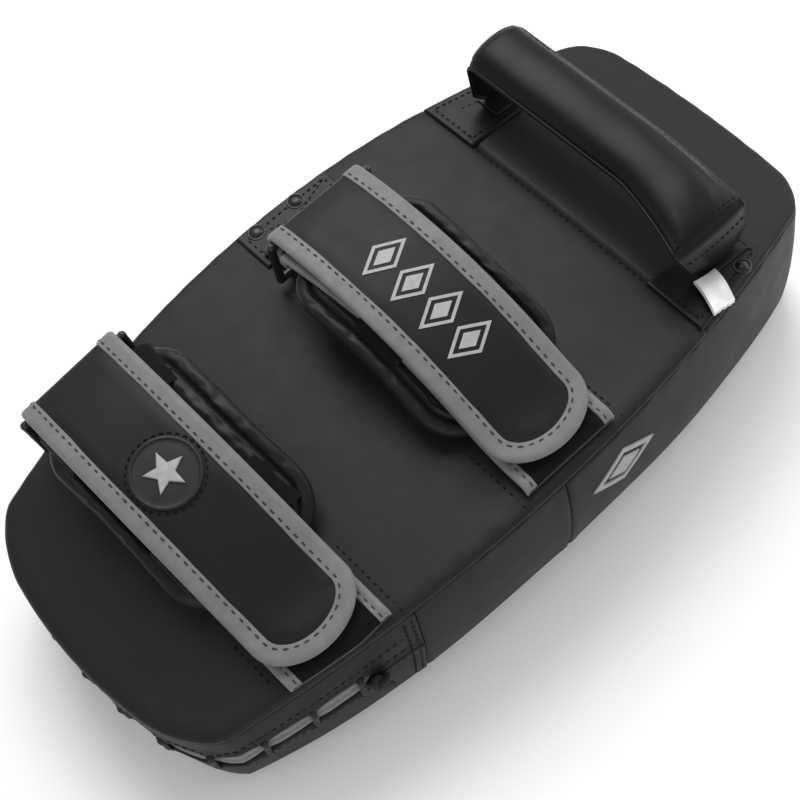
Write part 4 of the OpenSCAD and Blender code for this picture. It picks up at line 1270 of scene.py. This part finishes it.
def ring_loop(strap):
    """Leather loop that holds the ring: it gathers into folds as it turns round the bar"""
    tag, way, tail = strap["tag"], strap["loop_way"], strap["loop_tail"]
    bar_x, _ = ring_bar(strap)
    bore, thick = RING_WIRE / 2 + 0.35, 1.5
    turn = np.radians(np.linspace(-90, 262, 48))
    run = np.linspace(tail, 0, 14)[:-1]
    path_x = np.concatenate([way * run, way * np.cos(turn) * bore])
    path_z = np.concatenate([np.full(len(run), -bore), np.sin(turn) * bore])
    if way < 0:
        path_x[len(run):] = -np.cos(turn) * bore
    out_x = np.concatenate([np.zeros(len(run)), path_x[len(run):] / bore])
    out_z = np.concatenate([np.full(len(run), -1.0), path_z[len(run):] / bore])
    away = np.concatenate([run / tail, np.zeros(len(turn))])[:, None]
    f = np.linspace(-1, 1, 45)[None, :]
    half = 22 + 1.5 * away
    y = half * f
    fold = (0.55 * wobble(y, away * 3, 4.2, strap["yc"]) + 0.3) * (1 - 0.7 * away)
    grids = []
    for t in (thick + fold, np.zeros_like(fold)):
        x = bar_x + path_x[:, None] + out_x[:, None] * t
        z = RING_LOW_H + path_z[:, None] + out_z[:, None] * t * 0.8
        x, z, yy = np.broadcast_arrays(x, z, y)
        grids.append(strap_place(np.stack([x, yy, z], -1), strap))
    build(f"ring_loop_{tag}_leather", "pad", PATCH, shell(*grids),
          replaces=["ring_loop_" + tag])


# ---- Forearm cushions ----

SEAM_INSET, PIPE_INSET = 7.0, 10.2
CUSHION_ROWS = [0, 0.5, 1.2, 2.1, 3.1, 4.1, 5.0, 5.8, 6.4, 7.0, 7.6, 8.2, 8.9, 9.6, 10.2, 10.8,
                11.6, 13, 15]
SEAM_ROW = CUSHION_ROWS.index(SEAM_INSET)
CORNER_STEPS = 24
SWELL_PRESSURE, SWELL_FRAMES, SWELL_CAP = 4.0, 20, 0.55


def rounded_rect(half_l, half_w, r, count):
    """Outline of a rounded rectangle and its outward normals"""
    points, normals = [], []
    for k, (sx, sy) in enumerate(((1, 1), (-1, 1), (-1, -1), (1, -1))):
        a = np.linspace(k * math.pi / 2, (k + 1) * math.pi / 2, CORNER_STEPS)
        n = np.stack([np.cos(a), np.sin(a)], 1)
        points.append(np.array([sx * (half_l - r), sy * (half_w - r)]) + r * n)
        normals.append(n)
    loop = np.concatenate([np.concatenate(points), points[0][:1]])
    norms = np.concatenate([np.concatenate(normals), normals[0][:1]])
    s = np.concatenate([[0], np.cumsum(np.linalg.norm(np.diff(loop, axis=0), axis=1))])
    at = np.linspace(0, s[-1], count, endpoint=False)
    pick = [np.stack([np.interp(at, s, v[:, k]) for k in range(2)], 1) for v in (loop, norms)]
    return pick[0], unit(pick[1]), at


def cushion_rise(d):
    """Half thickness of a cushion at distance d from its edge: rolled rim, groove, crown"""
    rim_part = 3.9 * np.sqrt(np.clip(1 - (np.clip(3.8 - d, 0, 3.8) / 3.8) ** 2, 0, 1))
    fall = 1.7 * bell(d - SEAM_INSET, 0.9) + 0.5 * bell(d - PIPE_INSET, 0.45)
    crown = 1.6 * np.clip((d - 8) / 14, 0, 1) ** 0.7
    return rim_part - fall + crown


def cushion_half(strap):
    low, high = strap["cushion"]
    return arc(ARCH_R + CUSHION_MID, high - low) / 2


def cushion_grid(strap, columns=220):
    half_l = cushion_half(strap)
    edge, n, at = rounded_rect(half_l, CUSHION_W / 2, CUSHION_CORNER, columns)
    pinch = 0.8 * bell(edge[:, 1] / (CUSHION_W / 2), 0.5) + 0.8 * bell(edge[:, 0] / half_l, 0.5)
    edge = edge - n * pinch[:, None]
    rows = [edge - n * d for d in CUSHION_ROWS]
    depth = [np.full(columns, float(d)) for d in CUSHION_ROWS]
    spine = np.clip(rows[-1][:, 0], -half_l + 38, half_l - 38)
    spine = np.stack([spine, np.zeros(columns)], 1)
    for k in range(1, 8):
        rows.append(rows[-1] * (1 - 1 / (8 - k)) + spine * (1 / (8 - k)) if k < 7 else spine)
        depth.append(CUSHION_ROWS[-1] + np.linalg.norm(rows[-1] - rows[len(CUSHION_ROWS) - 1],
                                                       axis=1))
    return np.stack(rows), np.stack(depth), at


def cushion_place(strap, flat, rise):
    low, high = strap["cushion"]
    r = ARCH_R + CUSHION_MID
    angle = (low + high) / 2 + np.degrees(flat[..., 0] / r)
    x, z = arch_point(strap["ring_x"], angle, CUSHION_MID + rise)
    return strap_place(np.stack([x, flat[..., 1] + strap["shift"], z], -1), strap)


def cushion_faces(strap):
    """Upper and lower height of a cushion over its grid: the top stays under the strap"""
    flat, depth, at = cushion_grid(strap)
    under_strap = 1 / (1 + np.exp(-(27.5 - np.abs(flat[..., 1] + strap["shift"])) / 0.8))
    pucker = 0.22 * wobble(at[None, :] + 0 * depth, depth * 0.5, 4.2, strap["yc"])
    pucker *= bell(depth - SEAM_INSET, 5) * np.clip(depth / 2, 0, 1)
    thin = 1 - 0.4 * np.clip((np.abs(flat[..., 0]) - cushion_half(strap) + 20) / 20, 0, 1)
    full = cushion_rise(depth) * thin
    top = np.minimum(full, 3.75 + 1.1 * (1 - under_strap)) + pucker
    low = pucker - full * 0.95
    return flat, depth, top, low


def swell(obj, pinned):
    """Blows a closed mesh up a little as cloth, holding its seams, and caps how far it moves"""
    mesh = obj.data
    rest = np.array([v.co for v in mesh.vertices], float)
    group = obj.vertex_groups.new(name="seams")
    group.add([int(i) for i in pinned], 1.0, "REPLACE")
    cloth_mod = obj.modifiers.new("swell", "CLOTH")
    settings = cloth_mod.settings
    settings.vertex_group_mass = "seams"
    settings.use_pressure, settings.uniform_pressure_force = True, SWELL_PRESSURE
    settings.effector_weights.gravity = 0
    settings.quality, settings.mass = 6, 0.3
    settings.tension_stiffness = settings.compression_stiffness = 20
    settings.bending_stiffness = 12
    settings.shrink_min = -0.01
    cloth_mod.collision_settings.use_collision = False
    for number in range(1, SWELL_FRAMES + 1):
        scene.frame_set(number)
    swollen = obj.evaluated_get(bpy.context.evaluated_depsgraph_get())
    moved = np.array([v.co for v in swollen.data.vertices], float)
    obj.modifiers.remove(cloth_mod)
    obj.vertex_groups.remove(group)
    scene.frame_set(1)
    step = moved - rest
    far = np.linalg.norm(step, axis=1, keepdims=True)
    step *= np.minimum(1, SWELL_CAP * MM / np.maximum(far, 1e-9))
    mesh.vertices.foreach_set("co", (rest + step).astype(np.float32).ravel())
    mesh.update()


def cushion(strap):
    tag = strap["tag"]
    flat, depth, top, low = cushion_faces(strap)
    rows, cols = depth.shape
    upper = cushion_place(strap, flat, top)
    lower = cushion_place(strap, flat, low)[1:]
    points = np.concatenate([upper.reshape(-1, 3), lower.reshape(-1, 3)])
    faces = quads(rows, cols, 0, False, True) + quads(rows - 1, cols, rows * cols, False, True)
    base = rows * cols
    faces += [(j, (j + 1) % cols, base + (j + 1) % cols, base + j) for j in range(cols)]
    obj = build(f"cushion_{tag}_padded", "cushion_" + tag, CUSHION,
                (points, faces), sharp=80,
                replaces=["cushion_cover_" + tag, "cushion_foam_" + tag])
    co = np.array([v.co for v in obj.data.vertices], float) / MM
    k = SEAM_ROW
    seam_points = np.concatenate([upper[k - 1:k + 2].reshape(-1, 3),
                                  lower[k - 2:k + 1].reshape(-1, 3)])
    under = upper[np.abs(flat[..., 1] + strap["shift"]) < 28]
    held = np.concatenate([seam_points, under])
    swell(obj, nearest(co, held))
    route_2d = flat[SEAM_ROW]
    ring = np.concatenate([np.arange(cols), [0]])
    seams = []
    for face, rise in ((1, top[SEAM_ROW]), (-1, low[SEAM_ROW])):
        route = cushion_place(strap, route_2d, rise)[ring]
        lift = cushion_place(strap, route_2d, rise + face)[ring] - route
        seams.append(stitches(route, unit(lift), *CUSHION_STITCH))
    build(f"cushion_stitching_{tag}", "cushion_" + tag, THREAD_DARK,
          merge(seams))


def nearest(co, targets, tolerance=0.02):
    """Indices of the vertices that lie on any of the target points"""
    wanted = {tuple(np.round(p / tolerance / 4).astype(int)) for p in targets}
    return [i for i, p in enumerate(co) if tuple(np.round(p / tolerance / 4).astype(int)) in wanted]


def keepers(strap):
    """Brushed elastic loops that hold the cushion on the base; they tuck into its seam"""
    tag = strap["tag"]
    reach = CUSHION_W / 2 - SEAM_INSET - 0.8
    far_y, near_y = strap["shift"] + reach, min(strap["shift"] - reach, -28.3)
    far = [(far_y, -8.8), (far_y - 1.4, -7.5), ((far_y + 27.3) / 2, -6.4), (27.3, -4.6),
           (26.0, -3.7)]
    near = [(-26.0, -3.7), (-27.1, -4.6), ((near_y - 27.6) / 2, -6.6), (near_y, -8.8)]
    outline = np.array([*far, *((y, -3.2) for y in (22, 11, 0, -11, -22)), *near])
    outline = rounded(outline, 1.0, 3)
    normal = unit(np.stack([-np.gradient(outline[:, 1]), np.gradient(outline[:, 0])], 1))
    if normal[len(normal) // 2, 1] < 0:
        normal = -normal
    parts = []
    for angle in strap["keepers"]:
        sweep_half = math.degrees(KEEPER_W / 2 / ARCH_R)
        a = np.linspace(angle - sweep_half, angle + sweep_half, 30)[None, :]
        grids = []
        for lift in (0.35, -0.65):
            y = outline[:, 0] + normal[:, 0] * lift
            o = outline[:, 1] + normal[:, 1] * lift
            y, o, a2 = np.broadcast_arrays(y[:, None], o[:, None], a)
            tuft = 0.05 * wobble(y * 2, a2 * 8, 5, angle) if lift > 0 else 0
            x, z = arch_point(strap["ring_x"], a2, o + tuft)
            grids.append(strap_place(np.stack([x, y, z], -1), strap))
        parts.append(shell(*grids))
    build(f"cushion_keepers_{tag}_elastic", "cushion_" + tag, KEEPER_PILE,
          merge(parts), replaces=["cushion_keepers_" + tag])


# ---- Handle ----

CAD_LEG = (HANDLE_H - ROLL_T / 2 - HANDLE_BASE_H) / math.cos(math.radians(TAB_LEAN)) - BEND_R
FOOT_X = HANDLE_LENGTH / 2 - 2 - CAD_LEG * math.sin(math.radians(TAB_LEAN))
ROLL_MID = (HANDLE_BASE_H + CAD_LEG * math.cos(math.radians(TAB_LEAN))
            + BEND_R * (1 + math.sin(math.radians(TAB_LEAN))))
CORNER_R, HEM_X = 4.0, 70.0


def handle_path():
    """Left tab, sharp corner, roll, the hem's corner and the right tab, as runs and arcs"""
    lean_rad = math.radians(TAB_LEAN)
    climb = ROLL_MID - HANDLE_BASE_H
    left = (climb - CORNER_R * (1 + math.sin(lean_rad))) / math.cos(lean_rad)
    top_x = -FOOT_X - left * math.sin(lean_rad) + CORNER_R * math.cos(lean_rad)
    bend = 90 + TAB_LEAN
    return (-FOOT_X, HANDLE_BASE_H, bend), (
        (left, 0), (arc(CORNER_R, bend), -bend), (HEM_X - CORNER_R - top_x, 0),
        (arc(CORNER_R, 90), -90), (climb - CORNER_R, 0))


HANDLE_PATH = handle_path()
HANDLE_END = path_length(HANDLE_PATH)
ROLL_START = HANDLE_PATH[1][0][0] + HANDLE_PATH[1][1][0] * 0.5
HEM_S = sum(piece[0] for piece in HANDLE_PATH[1][:3]) + HANDLE_PATH[1][3][0] * 0.4


def handle_point(s, across, offset):
    s, across, offset = np.broadcast_arrays(*(np.asarray(v, float) for v in (s, across, offset)))
    a = trace(*HANDLE_PATH, s.ravel()).reshape(*s.shape, 3)
    h = np.radians(a[..., 2])
    return np.stack([a[..., 0] - np.sin(h) * offset, across + HANDLE_Y,
                     a[..., 1] + np.cos(h) * offset + float(back_z(HANDLE_Y))], -1)


def grip_shape(s):
    """Half thickness outward and inward, half width and sideways shift along the handle"""
    left = np.clip((s - ROLL_START) / 5, 0, 1)
    right = np.clip((HEM_S - s) / 26, 0, 1)
    full = np.minimum(np.sqrt(left * (2 - left)), np.sqrt(right * (2 - right)))
    out = TAB_T / 2 + (ROLL_T / 2 + 0.6 - TAB_T / 2) * full
    low = TAB_T / 2 + (ROLL_T / 2 - TAB_T / 2) * full**1.4
    fall = np.clip((s - HEM_S) / (HANDLE_END - HEM_S), 0, 1)
    flare = np.where(s < HEM_S, np.clip(1 - (HEM_S - s) / 48, 0, 1) ** 1.4, 1 - fall)
    climb = np.minimum(s, HANDLE_END - s)
    width = np.minimum(HANDLE_W / 2 + 0.7 + 4.6 * flare, HANDLE_W / 2 * (0.58 + climb / 16))
    return out, low, width, -8.5 * flare


def crown(f):
    """Height of the roll's top across it, as a share of its half thickness"""
    return 0.1 + 0.9 * (1 - np.abs(f) ** 2.3) ** 0.62


def handle_grip():
    """The padded roll and its two tabs as one skin"""
    s = np.concatenate([np.linspace(0, ROLL_START, 26), np.linspace(ROLL_START, HEM_S, 130)[1:-1],
                        np.linspace(HEM_S, HANDLE_END, 28)])
    out, low, width, shift = grip_shape(s)
    # Section: puffed top, seam with piping at its edges, lip rolling under, soft base
    top = np.sin(np.linspace(-math.pi / 2, math.pi / 2, 27))
    lip = np.array([0.985, 1.0, 0.985, 0.93, 0.8])
    lip_h = np.array([0.0, -0.12, -0.35, -0.66, -0.9])
    f = np.concatenate([top * 0.97, lip, np.linspace(0.6, -0.6, 9), -lip[::-1]])
    h = np.concatenate([crown(top) - 0.1 * bell(np.abs(top) - 0.9, 0.04), lip_h, np.full(9, -1.0),
                        lip_h[::-1]])
    s2 = np.broadcast_to(s[:, None], (len(s), len(f)))
    crease = 0.22 * wobble(s2, f[None, :] * 14, 15, 2.0) * np.clip(out[:, None] / 6, 0, 1)
    gather = 0.35 * wobble(f[None, :] * 18, s2 * 0.2, 3.1, 1.0) * bell(HEM_S - 9 - s2, 7)
    depth = np.where(h > 0, h * out[:, None], h * low[:, None])
    depth = depth + (crease + gather) * (np.abs(f) < 0.9) * (h > 0)
    grid = handle_point(s2, width[:, None] * f[None, :] + shift[:, None], depth)
    obj = build("handle_grip_padded", "handle", HANDLE, sweep(grid), sharp=70,
                replaces=["handle_cover", "handle_foam"])


def handle_trim():
    """Piping along both seams of the roll, its stitches and the two rows across the hem"""
    piping, rows = [], []
    line_s = np.linspace(0.5, HANDLE_END - 0.5, 190)
    o, _, w, across = grip_shape(line_s)
    for side in (-1, 1):
        route = handle_point(line_s, side * w * 0.995 + across, -0.5)
        up = unit(handle_point(line_s, side * w, 1.0) - handle_point(line_s, side * w, 0.0))
        piping.append(tube(route, 0.95, up, 10))
        roll = (line_s > ROLL_START + 4) & (line_s < HEM_S - 3)
        groove = handle_point(line_s, side * w * 0.873 + across, o * (crown(0.9) - 0.1))[roll]
        rows.append(stitches(groove, up[roll], *GRIP_STITCH))
    build("handle_piping", "handle", HANDLE, merge(piping))
    across = np.linspace(-1, 1, 34) * 0.93
    for at in (HEM_S - 2.4, HEM_S + 9.5):
        s = np.full(34, at)
        o, _, w, shift = grip_shape(s)
        route = handle_point(s, across * w + shift, o * crown(across / 0.97) + 0.03)
        up = unit(handle_point(s, across, 2.0) - handle_point(s, across, 1.0))
        rows.append(stitches(route, up, *HEM_STITCH))
    build("handle_stitching", "handle", THREAD_DARK, merge(rows))


def handle_feet():
    """Sewn ends of the tabs, flat on their patches"""
    parts = []
    for side in (-1, 1):
        lo, hi = FOOT_X - 11, FOOT_X + 2.5
        x, y, d = patch_grid(HANDLE_Y - 13, HANDLE_Y + 13,
                             lambda y: np.zeros_like(y) + (lo if side > 0 else -hi),
                             lambda y: np.zeros_like(y) + (hi if side > 0 else -lo))
        z = surface_z(x, y)
        outer = np.stack([x, y, z + PATCH_TOP + 1.1 - roll_off(d, 0.8)
                          + 0.1 * wobble(x, y, 6)], -1)
        parts.append(shell(outer, np.stack([x, y, z + PATCH_TOP - 0.2], -1)))
    build("handle_feet_leather", "pad", PATCH, merge(parts),
          replaces=["handle_feet"])


LABEL_IN, LABEL_OUT, LABEL_HALF, FOLD_R = (72.0, 118.5), (89.8, 112.5), 6.0, 0.9


def wash_label():
    """Blank satin label: a strip doubled over, its fold inward and its cut ends at the seam"""
    run = np.array(LABEL_OUT) - np.array(LABEL_IN)
    long = float(np.linalg.norm(run))
    along = run / long
    turn = np.linspace(-math.pi / 2, math.pi / 2, 9)[1:-1]
    low = [(d, 0.0) for d in np.linspace(long, FOLD_R, 16)]
    fold = [(FOLD_R - FOLD_R * math.cos(t), FOLD_R + FOLD_R * math.sin(t)) for t in turn]
    high = [(d, 2 * FOLD_R + 0.5 * math.sin(math.pi * d / long))
            for d in np.linspace(FOLD_R, long, 16)]
    loop = rounded(np.array([*low, *fold, *high]), 0.7, 2)
    v = np.linspace(-LABEL_HALF, LABEL_HALF, 15)[None, :]
    d, w, v = np.broadcast_arrays(loop[:, 0][:, None], loop[:, 1][:, None], v)
    fray = 0.4 * wobble(v, v * 2, 1.1, 3.0) * np.clip(d - long + 2, 0, 2) / 2
    d = d + fray
    x = LABEL_IN[0] + along[0] * d - along[1] * v * 0.3
    y = LABEL_IN[1] + along[1] * d + v
    arch = 2.0 * np.sin(math.pi * np.clip(d / long, 0, 1)) + 0.5 * (v / LABEL_HALF) ** 2
    z = surface_z(x, y) + PATCH_TOP + 0.5 + w + arch + 0.2 * wobble(x, y, 7, 1.0)
    outer = np.stack([x, y, z], -1)
    n = unit(np.cross(np.gradient(outer, axis=0), np.gradient(outer, axis=1)))
    strip = build("wash_label_satin", "pad", LABEL,
                  shell(outer, outer + n * 0.3), replaces=["wash_label"])


# ---- Seams on the covers ----


def seam_stitching():
    rows = []
    x = np.linspace(-84, 84, 170)
    y = np.full_like(x, CROSS_SEAM_Y - 1.5)
    route = np.stack([x, y, back_height(x, y, np.full_like(x, 30.0), x)], 1)
    rows.append(stitches(route, UP, *CROSS_SEAM_STITCH))
    for strap, x0 in ((LOWER, 50), (UPPER, 62)):
        for side in (-1, 1):
            y = strap["yc"] + side * (BASE_HALF + 4)
            reach = float(side_x(y)) - 1.5
            x = np.linspace(x0, reach, 40)
            y = np.full_like(x, y)
            route = np.stack([x, y, back_height(x, y, np.full_like(x, 30.0), x) - 0.05], 1)
            rows.append(stitches(route, UP, *BESIDE_STRAP_STITCH))
    build("back_panel_stitching", "pad", THREAD_DARK, merge(rows))


SLOT_STITCH_INSET, FLAP_END_INSETS, WALL_ROW_DROP = 4.3, (2.6, 6.2), 13.5


def lace_flap_stitching():
    rows = []
    end = rim_s(FLAP_END_Y)
    for way in (1, -1):
        s = np.linspace(-end + 8, end - 8, 500)
        u = SLOT_SHARE - way * (slot_half(s) + SLOT_STITCH_INSET) / wall_height(s)
        route = wall_at(s, u, -0.25 + 1.0 * pull(s))
        rows.append(stitches(route, wall_normal(s, u), *SLOT_STITCH))
    for side in (-1, 1):
        for inset in FLAP_END_INSETS:
            u = np.linspace(0.06, 1.0, 40)
            s = np.full(40, side * (end - inset))
            route = wall_at(s, u, 0.55 * np.ones(40))
            rows.append(stitches(route, wall_normal(s, u), *FLAP_END_STITCH))
    s = np.linspace(-end + 3, end - 3, 500)
    u = WALL_ROW_DROP / wall_height(s)
    route = wall_at(s, u, wall_shade(s, WALL_ROW_DROP + 0 * s, 4.0) * 0.8 + 0.02)
    rows.append(stitches(route, wall_normal(s, u), *WALL_STITCH))
    build("lace_flap_stitching", "pad", THREAD_DARK, merge(rows))


GUSSET_PRINT_Y, GUSSET_PRINT_DEPTH, GUSSET_PRINT_HALF = 37.0, 0.42, (20, 13)


def wall_print():
    """Plain print on the right gusset: two nested lozenges"""
    middle = rim_s(GUSSET_PRINT_Y)
    shape = lozenge(40)
    long, tall = GUSSET_PRINT_HALF
    height = float(wall_height(middle))
    parts = []
    for outer, inner in ((1.0, 0.74), (0.5, 0.03)):
        grids = []
        for lift in (0.75, -0.4):
            rings = [wall_at(middle + long * q * shape[:, 0],
                             GUSSET_PRINT_DEPTH + tall * q * shape[:, 1] / height,
                             lift * np.ones(40)) for q in np.linspace(inner, outer, 4)]
            grids.append(np.stack(rings, 1))
        parts.append(shell(*grids, close_rows=True))
    build("gusset_print_lozenge", "pad", PRINT, merge(parts), sharp=30)


# ---- Frame nodes that stay, the floor and the lights ----

NODE_FINISHES = {
    "ring_lower": RING, "ring_upper": RING, "foam_back": FOAM, "foam_core": FOAM,
    "foam_strike": STRIKE_FOAM, "flap_hook_lower": HOOKS, "flap_hook_upper": HOOKS,
}


def dress_nodes():
    for name, finish in NODE_FINISHES.items():
        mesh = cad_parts[name].data
        mesh.materials.clear()
        mesh.materials.append(finish)
        mesh.shade_smooth()
        mesh.set_sharp_from_angle(angle=math.radians(40))


def stage_material():
    n = Nodes("floor_pale")
    colour = n.ramp(n.noise(400), (0.86, 0.86, 0.86), (0.9, 0.9, 0.9))
    return n.finish(colour, n.spread(n.noise(300), 0.85, 0.95))


def add_stage():
    mesh = bpy.data.meshes.new("floor")
    mesh.from_pydata([(-6, -6, -0.0005), (6, -6, -0.0005), (6, 6, -0.0005), (-6, 6, -0.0005)], [],
                     [(0, 1, 2, 3)])
    mesh.materials.append(stage_material())
    floor = bpy.data.objects.new("floor", mesh)
    scene.collection.objects.link(floor)
    world = bpy.data.worlds.new("studio")
    world.use_nodes = True
    back = world.node_tree.nodes["Background"]
    back.inputs["Color"].default_value = (1, 1, 1, 1)
    back.inputs["Strength"].default_value = 0.6
    scene.world = world


def area_light(name, place, target, size, power):
    data = bpy.data.lights.new(name, "AREA")
    data.shape, data.size, data.size_y = "RECTANGLE", size[0], size[1]
    data.energy = power
    light = bpy.data.objects.new(name, data)
    light.location = place
    light.rotation_euler = (Vector(target) - Vector(place)).to_track_quat("-Z", "Y").to_euler()
    scene.collection.objects.link(light)


def add_lights():
    area_light("key_soft", (-0.9, 0.5, 1.5), (0, 0, 0.05), (1.2, 1.2), 26)
    area_light("fill_soft", (1.3, -0.9, 0.9), (0, 0, 0.05), (1.4, 1.0), 7)
    area_light("back_strip", (0.2, 1.5, 0.9), (0, 0, 0.08), (1.6, 0.5), 9)


lace()
knot()
make_panels()
END_S = rim_s(FLAP_END_Y)
SEAM_S = rim_s(SIDE_SEAM_Y)
gusset("gusset_right_leather", "gusset_right", END_S, SEAM_S, 1.0)
gusset("gusset_left_leather", "gusset_left", -SEAM_S, -END_S, 2.0)
gusset("gusset_top_leather", "gusset_top", SEAM_S, 2 * HALF_ROUND - SEAM_S, 3.0)
lace_flap("lace_flap_back_leather", "lace_flap_back", 1)
lace_flap("lace_flap_strike_leather", "lace_flap_strike", -1)
tongue()
anchors()
handle_patches()
for one in (LOWER, UPPER):
    flap_cover(one)
    flap_binding(one)
    base_strap(one)
    ring_loop(one)
    cushion(one)
    keepers(one)
flap_print(UPPER)
badge(LOWER)
handle_grip()
handle_trim()
handle_feet()
wash_label()
seam_stitching()
lace_flap_stitching()
wall_print()
dress_nodes()
add_stage()
add_lights()
